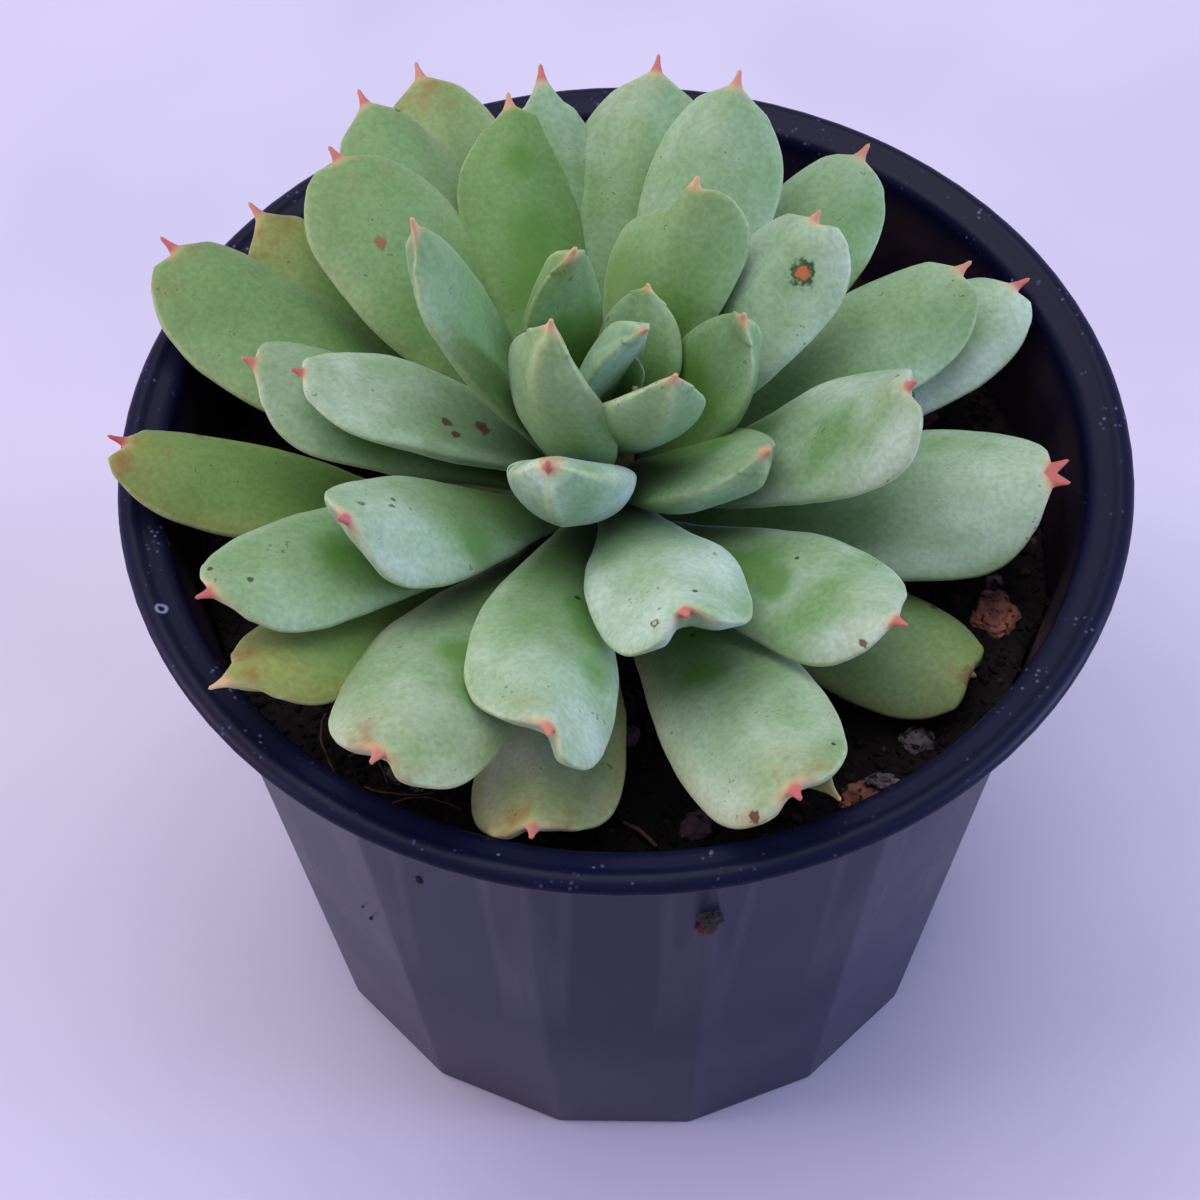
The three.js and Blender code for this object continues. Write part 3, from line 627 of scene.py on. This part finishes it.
def addMarks(blades):
    # each leaf carries how near its points are to a rubbed patch, and where its marks are
    for number, blade in blades.items():
        mesh = blade.data
        count = len(mesh.vertices)

        def carry(name, kind, field, values):
            mesh.attributes.new(name, kind, "POINT").data.foreach_set(field, values)

        patches = [(pointOn(blade, along, across), size * mm) for along, across, size in rubsAndShade.get(number, [])]
        carry("bare", "FLOAT", "value", [
            sum(max(0, 1 - (vertex.co - middle).length / size) for middle, size in patches)
            for vertex in mesh.vertices])
        own = marks.get(number, []) + [noMark] * markSlots
        for slot, (along, across, size, stain) in enumerate(own[:markSlots]):
            carry(f"markPlace{slot}", "FLOAT_VECTOR", "vector", list(pointOn(blade, along, across)) * count)
            carry(f"markSize{slot}", "FLOAT", "value", [size * mm] * count)
            carry(f"markTone{slot}", "FLOAT_COLOR", "color", colour(*stain) * count)


def makeLeaves():
    blades = {}
    tree = makeLeafTree()
    skin = makeLeafSkin()
    draw = random.Random(7)
    shape = leafShape
    number = 0
    for height, leaves in whorls:
        for turn, rise, bend, length, width, roll, sway in leaves:
            number += 1
            young = height > shape["heartHeight"]
            fold, leftLobe, rightLobe = tips[number]
            age, rubbed, ripe, bloom = skins[number]
            leaf = runTree(f"leafBlade{number:02d}", tree, {
                "Length": length * mm, "Width": width * mm, "Turn": math.radians(turn),
                "Rise": math.radians(rise), "Bend": math.radians(bend or 0.01), "Roll": math.radians(roll),
                "Twist": math.radians(draw.uniform(-shape["twist"], shape["twist"])), "Sway": sway * mm,
                "Root": stemAxis(height) * mm, "Root Radius": stemRadius(height) * mm,
                "Root Share": shape["heartRootShare" if young else "rootShare"],
                "Blunt": shape["plumpBlunt" if number in plump else "heartBlunt" if young else "blunt"],
                "Widest": shape["plumpWidest" if number in plump else "widest"],
                "Plump": plump.get(number, 1.0),
                "Cup": shape["heartCup" if young else "cup"], "Fold": fold,
                "Left Lobe": leftLobe * mm, "Right Lobe": rightLobe * mm,
                "Fork": forks.get(number, 0) * mm, "Stub": stubs.get(number, 0) * mm,
                "Keel": shape["heartKeel" if young else "keel"],
                "Wobble": shape["wobble"] * mm * min(1, width / 14), "Seed": float(number),
                "Age": float(age), "Rubbed": float(rubbed), "Ripe": float(ripe), "Bloom": float(bloom),
                "Around": shape["around"], "Rings": shape["rings"], "Skin": skin})
            settle(leaf, "leaf", f"leaf_{number:02d}")
            blades[number] = leaf
    addMarks(blades)
    print("leaves", number)


# Pot

pot = {
    "facets": 16,
    "baseCorner": 38.2,  # centre to the corners of the facets, on the ground
    "wallCorner": 45.8,
    "facetTop": 72.8,
    "wall": 1.1,
    "floor": 1.6,
    "lipRadius": 50.0,
    "height": 79.0,
    "drainHoles": 6,
    "drainRadius": 3.5,
    "drainCircle": 24.0,
    "perFacet": (0, 0.015, 0.05, 0.14, 0.3, 0.5, 0.7, 0.86, 0.95, 0.985),
}


def potCorner(height):
    return pot["baseCorner"] + (pot["wallCorner"] - pot["baseCorner"]) * height / pot["facetTop"]


def potRing(corner, z, roundness=0.0):
    # an outline with flat facets at roundness 0, and a circle at 1
    step = 2 * math.pi / pot["facets"]
    flat = corner * math.cos(step / 2)
    points = []
    for facet in range(pot["facets"]):
        for share in pot["perFacet"]:
            angle = -math.pi / 2 + (facet + share - 0.5) * step
            facetted = min(flat / math.cos((share - 0.5) * step), corner * 0.9992)
            radius = facetted + (corner - facetted) * roundness
            points.append((radius * math.cos(angle) * mm, radius * math.sin(angle) * mm, z * mm))
    return points


def loft(name, rings, closedEnds=True):
    mesh = bmesh.new()
    rows = [[mesh.verts.new(point) for point in ring] for ring in rings]
    count = len(rows[0])
    for lower, higher in zip(rows, rows[1:]):
        for i in range(count):
            mesh.faces.new((lower[i], lower[(i + 1) % count], higher[(i + 1) % count], higher[i]))
    if closedEnds:
        mesh.faces.new(list(reversed(rows[0])))
        mesh.faces.new(rows[-1])
    data = bpy.data.meshes.new(name)
    mesh.to_mesh(data)
    mesh.free()
    return data


# the ring left by a drop of water on the lip, in millimetres
dropRing = {
    "at": (-43.5, -20.2, 79.0),
    "radius": 0.75,
    "width": 0.3,
    "tone": colour(120, 124, 160),
}


def makePotPlastic():
    material, tree, shader, place = newMaterial("dustyPotPlastic")
    _, times, plus, _, ramp = sumsOf(tree)
    parts = addNode(tree, "ShaderNodeSeparateXYZ")
    feed(parts.inputs[0], place)
    high = ramp(parts.outputs["Z"], 0.0745, 0.0765, smooth=True)
    clouds = noise(tree, place, 35.0, 2.0, 0.6)
    body = mixColour(tree, clouds, colour(15, 14, 46), colour(21, 19, 56))
    body = mixColour(tree, high, body, colour(14, 15, 42))
    # the inside of the wall is lighter and browner, in blotches
    insideTone = times(attributeValue(tree, "inner"), ramp(noise(tree, place, 160.0), 0.3, 0.6, 0.5, 1.0))
    body = mixColour(tree, insideTone, body, colour(42, 33, 40))
    # fine dust, mostly on the lip
    sparse = ramp(noise(tree, place, 300.0, 2.0, 0.7), 0.55, 0.72)
    dust = times(ramp(cellDistance(tree, place, 1300.0), 0.1, 0.3, 1.0, 0.0), sparse)
    dust = times(dust, ramp(high, 0.0, 1.0, 0.12, 0.7))
    body = mixColour(tree, dust, body, colour(128, 130, 176))
    away = vectorMath(tree, "DISTANCE", place, Vector(dropRing["at"]) * mm)
    outer = dropRing["radius"] * mm
    hollow = outer - dropRing["width"] * mm
    ring = times(ramp(away, outer, outer * 0.8), ramp(away, hollow * 0.8, hollow))
    body = mixColour(tree, ring, body, dropRing["tone"])
    feed(shader.inputs["Base Color"], body)
    rough = plus(ramp(clouds, 0.3, 0.7, 0.26, 0.34), times(high, 0.12))
    feed(shader.inputs["Roughness"], plus(rough, times(dust, 0.3)))
    feed(shader.inputs["Specular IOR Level"], 0.12)
    addBump(tree, shader, noise(tree, place, 1400.0, 1.0), 0.15, 0.05 * mm)
    return material


def makePot():
    lip = pot["lipRadius"]
    inside = pot["wallCorner"] - pot["wall"]
    floor = pot["floor"]
    outer = [
        # radius, height and roundness of each ring up the outside
        (pot["baseCorner"] - 0.6, 0, 0), (potCorner(0.3) - 0.15, 0.3, 0), (potCorner(0.8), 0.8, 0),
        (potCorner(30), 30, 0), (pot["wallCorner"], pot["facetTop"], 0), (46.0, 73.3, 0.5), (46.3, 74.0, 1),
        (46.5, 75.0, 1), (46.6, 76.3, 1), (46.9, 76.7, 1), (47.4, 76.85, 1),
    ]
    rolled = [
        # over the lip: how far inside its edge, and how far below its top
        (1.4, 2.05), (0.7, 1.9), (0.25, 1.65), (0.05, 1.35), (0, 1.05), (0.1, 0.7), (0.4, 0.35), (0.85, 0.1),
        (1.3, 0), (1.7, 0.1), (2.0, 0.3), (2.4, 0.42), (3.3, 0.48), (3.9, 0.65), (4.3, 1.0), (4.5, 1.5),
        (4.6, 2.0),
    ]
    inner = [
        (inside + 0.35, 74.6, 1), (inside + 0.1, 73.0, 0.5), (inside, 71.8, 0),
        (potCorner(floor + 1) - pot["wall"], floor + 1, 0), (potCorner(floor) - pot["wall"] - 1, floor, 0),
    ]
    profile = outer + [(lip - back, pot["height"] - drop, 1) for back, drop in rolled] + inner
    rings = [potRing(*ring) for ring in profile]
    data = loft("nurseryPot", rings)
    piece = addPiece("nurseryPot", data)
    drills = bmesh.new()
    for i in range(pot["drainHoles"]):
        angle = 2 * math.pi * (i + 0.5) / pot["drainHoles"]
        centre = Vector((math.cos(angle), math.sin(angle), 0)) * pot["drainCircle"] * mm
        bmesh.ops.create_cone(drills, cap_ends=True, segments=40, radius1=pot["drainRadius"] * mm,
                              radius2=pot["drainRadius"] * mm, depth=0.01,
                              matrix=Matrix.Translation(centre))
    drillData = bpy.data.meshes.new("drainDrills")
    drills.to_mesh(drillData)
    drills.free()
    cutter = addPiece("drainDrills", drillData)
    cut = piece.modifiers.new("drainHoles", "BOOLEAN")
    cut.object = cutter
    cut.solver = "EXACT"
    depsgraph = bpy.context.evaluated_depsgraph_get()
    done = bpy.data.meshes.new_from_object(piece.evaluated_get(depsgraph))
    piece.modifiers.remove(cut)
    piece.data = done
    bpy.data.objects.remove(cutter)
    done.shade_smooth()
    done.set_sharp_from_angle(angle=math.radians(32))
    inner = done.attributes.new("inner", "FLOAT", "POINT")
    for vertex in done.vertices:
        outward = vertex.normal.x * vertex.co.x + vertex.normal.y * vertex.co.y
        inner.data[vertex.index].value = outward < 0 and vertex.co.z < 0.0765
    done.materials.clear()
    done.materials.append(makePotPlastic())
    settle(piece, "pot", "pot")
    print("pot")


# Soil

soil = {
    "top": 64.6,
    "relief": 0.7,
    "gap": 0.3,  # between the soil and the wall
    "rings": 56,
    "crumbDensity": 900000.0,  # crumbs in a square metre
    "crumbSize": 0.5,
}


def makeSoilEarth():
    material, tree, shader, place = newMaterial("pottingMix")
    kind = attributeValue(tree, "kind")
    tone = mixColour(tree, noise(tree, place, 500.0, 2.0, 0.7), colour(13, 13, 14), colour(38, 33, 33))
    tone = mixColour(tree, mapRange(tree, kind, 0.9, 0.94), tone, colour(52, 40, 38))
    tone = mixColour(tree, mapRange(tree, kind, 0.985, 0.99), tone, colour(84, 66, 62))
    feed(shader.inputs["Base Color"], tone)
    feed(shader.inputs["Roughness"], 0.95)
    feed(shader.inputs["Specular IOR Level"], 0.15)
    addBump(tree, shader, cellDistance(tree, place, 900.0), 0.8, 0.4 * mm)
    return material


def makeCrumbTree():
    # crumbs lie half sunk over the top of the soil
    tree, given, result = newTree("soilCrumbs", {"Density": 900000.0, "Size": 0.0005, "Earth": None})
    scatter = addNode(tree, "GeometryNodeDistributePointsOnFaces")
    feed(scatter.inputs["Seed"], 4)
    feed(scatter.inputs["Mesh"], given["Surface"])
    feed(scatter.inputs["Density"], given["Density"])
    facing = addNode(tree, "ShaderNodeSeparateXYZ")
    feed(facing.inputs[0], addNode(tree, "GeometryNodeInputNormal").outputs[0])
    feed(scatter.inputs["Selection"], mathNode(tree, "GREATER_THAN", facing.outputs["Z"], 0.5))
    crumb = addNode(tree, "GeometryNodeMeshIcoSphere")
    feed(crumb.inputs["Subdivisions"], 1)
    feed(crumb.inputs["Radius"], given["Size"])

    def draw(low, high, seed, kind="FLOAT_VECTOR"):
        node = addNode(tree, "FunctionNodeRandomValue", data_type=kind)
        first = 0 if kind == "FLOAT_VECTOR" else 2
        feed(node.inputs[first], low)
        feed(node.inputs[first + 1], high)
        feed(node.inputs["Seed"], seed)
        return node.outputs[0 if kind == "FLOAT_VECTOR" else 1]

    spread = addNode(tree, "GeometryNodeInstanceOnPoints")
    feed(spread.inputs["Points"], scatter.outputs["Points"])
    feed(spread.inputs["Instance"], crumb.outputs["Mesh"])
    feed(spread.inputs["Rotation"], draw((0, 0, 0), (6.28, 6.28, 6.28), 1))
    size = mathNode(tree, "POWER", draw(0.45, 1.3, 2, "FLOAT"), 1.8)
    feed(spread.inputs["Scale"], scaleVector(tree, draw((0.7, 0.5, 0.5), (1.3, 1.0, 1.1), 3), size))
    store = addNode(tree, "GeometryNodeStoreNamedAttribute", data_type="FLOAT", domain="INSTANCE")
    feed(store.inputs["Name"], "kind")
    feed(store.inputs["Geometry"], spread.outputs["Instances"])
    feed(store.inputs["Value"], draw(0.0, 1.0, 5, "FLOAT"))
    finishTree(tree, result, store.outputs["Geometry"], given["Earth"])
    return tree


def makeSoil():
    # rings over the top from the middle to the wall, down the wall and under
    inner = pot["wall"] + soil["gap"]
    bottom = pot["floor"] + soil["gap"]
    edge = potCorner(soil["top"]) - inner
    rings = []
    draw = random.Random(11)
    for i in range(soil["rings"], 0, -1):
        share = i / soil["rings"]
        ring = []
        for x, y, z in potRing(edge * share, soil["top"], 1 - share):
            waves = (math.sin(x / mm * 0.55 + 1.3) * math.sin(y / mm * 0.48 + 0.4)
                     + 0.6 * math.sin(x / mm * 1.1 - y / mm * 0.9))
            rough = draw.uniform(-0.22, 0.22)
            lump = soil["relief"] * waves * math.sqrt(max(0, 1 - share)) / 1.6 + rough * (share < 1)
            ring.append((x, y, z + lump * mm))
        rings.append(ring)
    rings.insert(0, potRing(potCorner(bottom) - inner, bottom))
    data = loft("pottingSoil", rings)
    earth = makeSoilEarth()
    data.materials.append(earth)
    data.shade_smooth()
    piece = addPiece("pottingSoil", data)
    settle(piece, "soil", "soil")
    crumbs = runTree("soilCrumbs", makeCrumbTree(), {
        "Density": soil["crumbDensity"], "Size": soil["crumbSize"] * mm, "Earth": earth}, data.copy())
    settle(crumbs, "soil")
    print("soil", len(crumbs.data.polygons))


# Grit on the soil, and the bits of root and stick among it

grit = {
    # node: centre (x, y), half sizes, seed
    "pumice_right": ((37.2, -10.5), (2.9, 3.4, 2.2), 3),
    "pumice_front": ((23.6, -31.6), (3.1, 1.9, 1.5), 8),
    "pebble_front": ((7.2, -35.4), (2.0, 2.0, 1.6), 5),
    "perlite_front": ((28.7, -25.4), (2.2, 1.8, 1.5), 2),
    "perlite_left": ((-21.6, -29.8), (1.7, 1.3, 1.1), 9),
    "pebble_back": ((31.6, 14.6), (1.8, 1.5, 1.3), 7),
}

# start, bend, end and thickness of each fibre, in millimetres
fibres = [
    ((-28.9, -24.2, 66.6), (-29.8, -28.0, 68.2), (-27.0, -31.3, 65.2), 0.22),
    ((-24.6, -31.6, 65.2), (-22.0, -33.4, 66.4), (-17.9, -32.2, 65.0), 0.2),
    ((-22.5, -33.8, 65.0), (-19.5, -32.0, 66.2), (-15.4, -33.9, 65.0), 0.18),
    ((-26.5, -28.0, 65.0), (-24.0, -27.0, 67.0), (-22.6, -31.0, 65.0), 0.18),
]
stick = ((0.2, -35.3, 65.2), (1.8, -36.4, 66.1), (3.3, -38.0, 65.5), 0.45)


# small chips that lie between the stones: centre, half sizes, seed and kind
chips = [
    ((24.8, -31.0, 66.2), (2.0, 1.1, 0.8), 4, "perlite"),
    ((21.4, -33.0, 65.0), (0.8, 0.6, 0.5), 6, "pumice"),
    ((22.6, -33.5, 65.0), (0.6, 0.8, 0.5), 10, "pumice"),
    ((37.4, -6.9, 65.2), (1.2, 1.1, 0.9), 11, "perlite"),
    ((-19.6, -31.4, 65.0), (0.9, 0.7, 0.5), 12, "perlite"),
    ((0.8, -25.3, 65.0), (1.3, 1.6, 0.8), 14, "pebble"),
    ((34.8, -16.6, 64.9), (0.7, 0.6, 0.4), 15, "pebble"),
    ((13.8, -36.6, 64.9), (0.7, 0.5, 0.4), 16, "pebble"),
    # bits of bark stuck to the outside of the wall
    ((8.5, -43.9, 62.3), (1.6, 0.7, 2.3), 21, "soot"),
    ((8.2, -43.5, 59.6), (1.5, 0.7, 1.4), 22, "bark"),
    ((-19.3, -39.3, 60.9), (0.5, 0.4, 0.9), 23, "soot"),
    ((-26.1, -32.8, 40.7), (0.25, 0.2, 0.35), 24, "soot"),
    ((-26.9, -32.2, 42.0), (0.15, 0.12, 0.2), 25, "soot"),
]


def makeStoneTree():
    # a ball pushed in and out by cells and noise until it is an angular stone
    tree, given, result = newTree("gritStone", {
        "Centre": (0.0, 0.0, 0.065), "Half Size": (0.002, 0.002, 0.002), "Seed": 1.0, "Chips": 0.35,
        "Rock": None})
    _, times, plus, minus, _ = sumsOf(tree)
    ball = addNode(tree, "GeometryNodeMeshIcoSphere")
    feed(ball.inputs["Subdivisions"], 5)
    spot = addNode(tree, "GeometryNodeInputPosition").outputs[0]
    seeded = vectorMath(tree, "ADD", spot, scaleVector(tree, (1.7, 2.9, 0.8), given["Seed"]))
    fine = noise(tree, seeded, 3.2, 4.0, 0.6)
    swell = minus(1.0, times(cellDistance(tree, seeded, 1.3), given["Chips"]))
    swell = plus(swell, times(minus(fine, 0.6), 0.34))
    sized = vectorMath(tree, "MULTIPLY", scaleVector(tree, spot, swell), given["Half Size"])
    shaped = addNode(tree, "GeometryNodeSetPosition")
    feed(shaped.inputs["Geometry"], ball.outputs["Mesh"])
    feed(shaped.inputs["Position"], vectorMath(tree, "ADD", sized, given["Centre"]))
    smooth = addNode(tree, "GeometryNodeSetShadeSmooth")
    feed(smooth.inputs["Geometry"], shaped.outputs["Geometry"])
    finishTree(tree, result, smooth.outputs["Geometry"], given["Rock"])
    return tree


def makeRock(name, light, dark, speck, specks):
    material, tree, shader, place = newMaterial(name)
    tone = mixColour(tree, mapRange(tree, noise(tree, place, 420.0, 4.0, 0.65), 0.35, 0.65), dark, light)
    mask = mapRange(tree, noise(tree, place, 1100.0, 2.0), 1 - specks, 1.02 - specks)
    feed(shader.inputs["Base Color"], mixColour(tree, mask, tone, speck))
    feed(shader.inputs["Roughness"], 0.85)
    addBump(tree, shader, cellDistance(tree, place, 1500.0), 0.7, 0.25 * mm)
    return material


def makeFibreTree():
    tree, given, result = newTree("rootFibre", {
        "Start": (0.0, 0.0, 0.0), "Middle": (0.0, 0.0, 0.0), "End": (0.0, 0.0, 0.0), "Thickness": 0.0002,
        "Bark": None})
    curve = addNode(tree, "GeometryNodeCurveQuadraticBezier")
    feed(curve.inputs["Resolution"], 24)
    for name in ("Start", "Middle", "End"):
        feed(curve.inputs[name], given[name])
    section = addNode(tree, "GeometryNodeCurvePrimitiveCircle")
    feed(section.inputs["Resolution"], 8)
    feed(section.inputs["Radius"], mathNode(tree, "MULTIPLY", given["Thickness"], 0.5))
    tube = addNode(tree, "GeometryNodeCurveToMesh")
    feed(tube.inputs["Fill Caps"], True)
    feed(tube.inputs["Curve"], curve.outputs[0])
    feed(tube.inputs["Profile Curve"], section.outputs[0])
    spot = addNode(tree, "GeometryNodeInputPosition").outputs[0]
    crooked = scaleVector(tree, vectorMath(tree, "SUBTRACT", noiseVector(tree, spot, 450.0), (0.5, 0.5, 0.5)),
                          0.6 * mm)
    bent = addNode(tree, "GeometryNodeSetPosition")
    feed(bent.inputs["Geometry"], tube.outputs[0])
    feed(bent.inputs["Offset"], crooked)
    finishTree(tree, result, bent.outputs["Geometry"], given["Bark"])
    return tree


def makeGrit():
    tree = makeStoneTree()
    rocks = {
        "pumice": makeRock("pumice", colour(178, 112, 90), colour(96, 64, 66), colour(52, 36, 40), 0.4),
        "perlite": makeRock("perlite", colour(120, 110, 116), colour(72, 64, 70), colour(20, 18, 20), 0.46),
        "pebble": makeRock("pebble", colour(90, 64, 78), colour(50, 36, 46), colour(26, 20, 26), 0.36),
        "soot": makeRock("sootyBark", colour(20, 16, 20), colour(8, 7, 9), colour(30, 24, 28), 0.4),
        "bark": makeRock("rustyBark", colour(84, 40, 44), colour(50, 26, 34), colour(30, 20, 26), 0.4),
    }
    for name, (centre, half, seed) in grit.items():
        stone = runTree("grit_" + name, tree, {
            "Centre": (centre[0] * mm, centre[1] * mm, soil["top"] * mm), "Half Size": [s * mm for s in half],
            "Seed": float(seed), "Chips": 0.35, "Rock": rocks[name.split("_")[0]]})
        settle(stone, name.split("_")[0], name)
    for number, (centre, half, seed, kind) in enumerate(chips):
        chip = runTree(f"chip{number + 1}", tree, {
            "Centre": [v * mm for v in centre], "Half Size": [s * mm for s in half], "Seed": float(seed),
            "Chips": 0.45, "Rock": rocks[kind]})
        settle(chip, kind if kind in ("pumice", "perlite", "pebble") else "soil")
    bark = makeRock("dryRoot", colour(112, 74, 56), colour(66, 46, 38), colour(38, 28, 24), 0.3)
    fibreTree = makeFibreTree()
    for number, (start, middle, end, thickness) in enumerate(fibres + [stick]):
        start, middle, end = ([v * mm for v in point] for point in (start, middle, end))
        fibre = runTree(f"rootFibre{number + 1}", fibreTree, {
            "Start": start, "Middle": middle, "End": end, "Thickness": thickness * mm, "Bark": bark})
        settle(fibre, "soil")
    print("grit", len(grit))


# Scene

camera = {
    "at": (3.0575, -160.4314, 282.3494),
    "right": (0.99976, 0.017531, -0.013141),
    "up": (-0.006892, 0.820966, 0.570935),
    "back": (0.020797, -0.570707, 0.820890),
    "lens": 78.67,
    "sensor": 36.0,
}


def makeCamera():
    data = bpy.data.cameras.new("photoCamera")
    data.lens = camera["lens"]
    data.sensor_width = camera["sensor"]
    data.clip_start = 0.01
    data.clip_end = 10
    eye = bpy.data.objects.new("photoCamera", data)
    scene.collection.objects.link(eye)
    axes = [Vector(camera[name]).normalized() for name in ("right", "up", "back")]
    turn = Matrix(axes).transposed().to_4x4()
    eye.matrix_world = Matrix.Translation(Vector(camera["at"]) * mm) @ turn
    scene.camera = eye


def makeFloor():
    material, tree, shader, place = newMaterial("lavenderPaper")
    soft = noise(tree, place, 14.0, 2.0, 0.6)
    tone = mixColour(tree, mapRange(tree, soft, 0.35, 0.65), colour(190, 187, 209), colour(200, 196, 216))
    feed(shader.inputs["Base Color"], tone)
    feed(shader.inputs["Roughness"], 0.85)
    half = 1.5  # metres
    data = bpy.data.meshes.new("tableTop")
    corners = [(-half, -half, 0), (half, -half, 0), (half, half, 0), (-half, half, 0)]
    data.from_pydata(corners, [], [(0, 1, 2, 3)])
    data.materials.append(material)
    floor = addPiece("tableTop", data)


def addLight(name, at, size, energy, tint):
    data = bpy.data.lights.new(name, "AREA")
    data.shape = "DISK"
    data.size = size
    data.energy = energy
    data.color = tint
    lamp = bpy.data.objects.new(name, data)
    scene.collection.objects.link(lamp)
    lamp.location = at
    lamp.rotation_euler = (Vector(room["aim"]) - Vector(at)).to_track_quat("-Z", "Y").to_euler()


lamps = {
    # place, size, watts and colour
    "windowLight": ((-0.3, 0.3, 1.5), 1.6, 16.9, (1.0, 0.98, 0.96)),
    "warmSide": ((-1.1, -0.15, 0.3), 0.5, 6.0, (1.0, 0.74, 1.0)),
    "blueSide": ((1.1, -0.15, 0.3), 0.5, 10.5, (0.5, 0.56, 1.0)),
}

room = {
    "tint": (0.85, 0.82, 1.03, 1.0),
    "dim": 0.31,  # strength of the room on the dark side
    "bright": 0.33,  # what the side of the window adds
    "window": (-0.25, 0.35, 0.9),
    "aim": (0, 0, 0.06),  # where the lamps point
}


def makeLights():
    # a pale room that is brightest behind the plant and to its left
    world = bpy.data.worlds.new("paleRoom")
    world.use_nodes = True
    tree = world.node_tree
    towards = vectorMath(tree, "DOT_PRODUCT", addNode(tree, "ShaderNodeTexCoord").outputs["Generated"],
                         room["window"])
    glow = mapRange(tree, towards, -0.5, 1.0, smooth=True)
    background = tree.nodes["Background"]
    feed(background.inputs["Color"], room["tint"])
    feed(background.inputs["Strength"], mathNode(tree, "MULTIPLY_ADD", glow, room["bright"], room["dim"]))
    scene.world = world
    for name, settings in lamps.items():
        addLight(name, *settings)


scene.view_settings.view_transform = "Standard"
makeCamera()
makeFloor()
makeLights()
makePot()
makeSoil()
makeGrit()
makeStem()
makeLeaves()
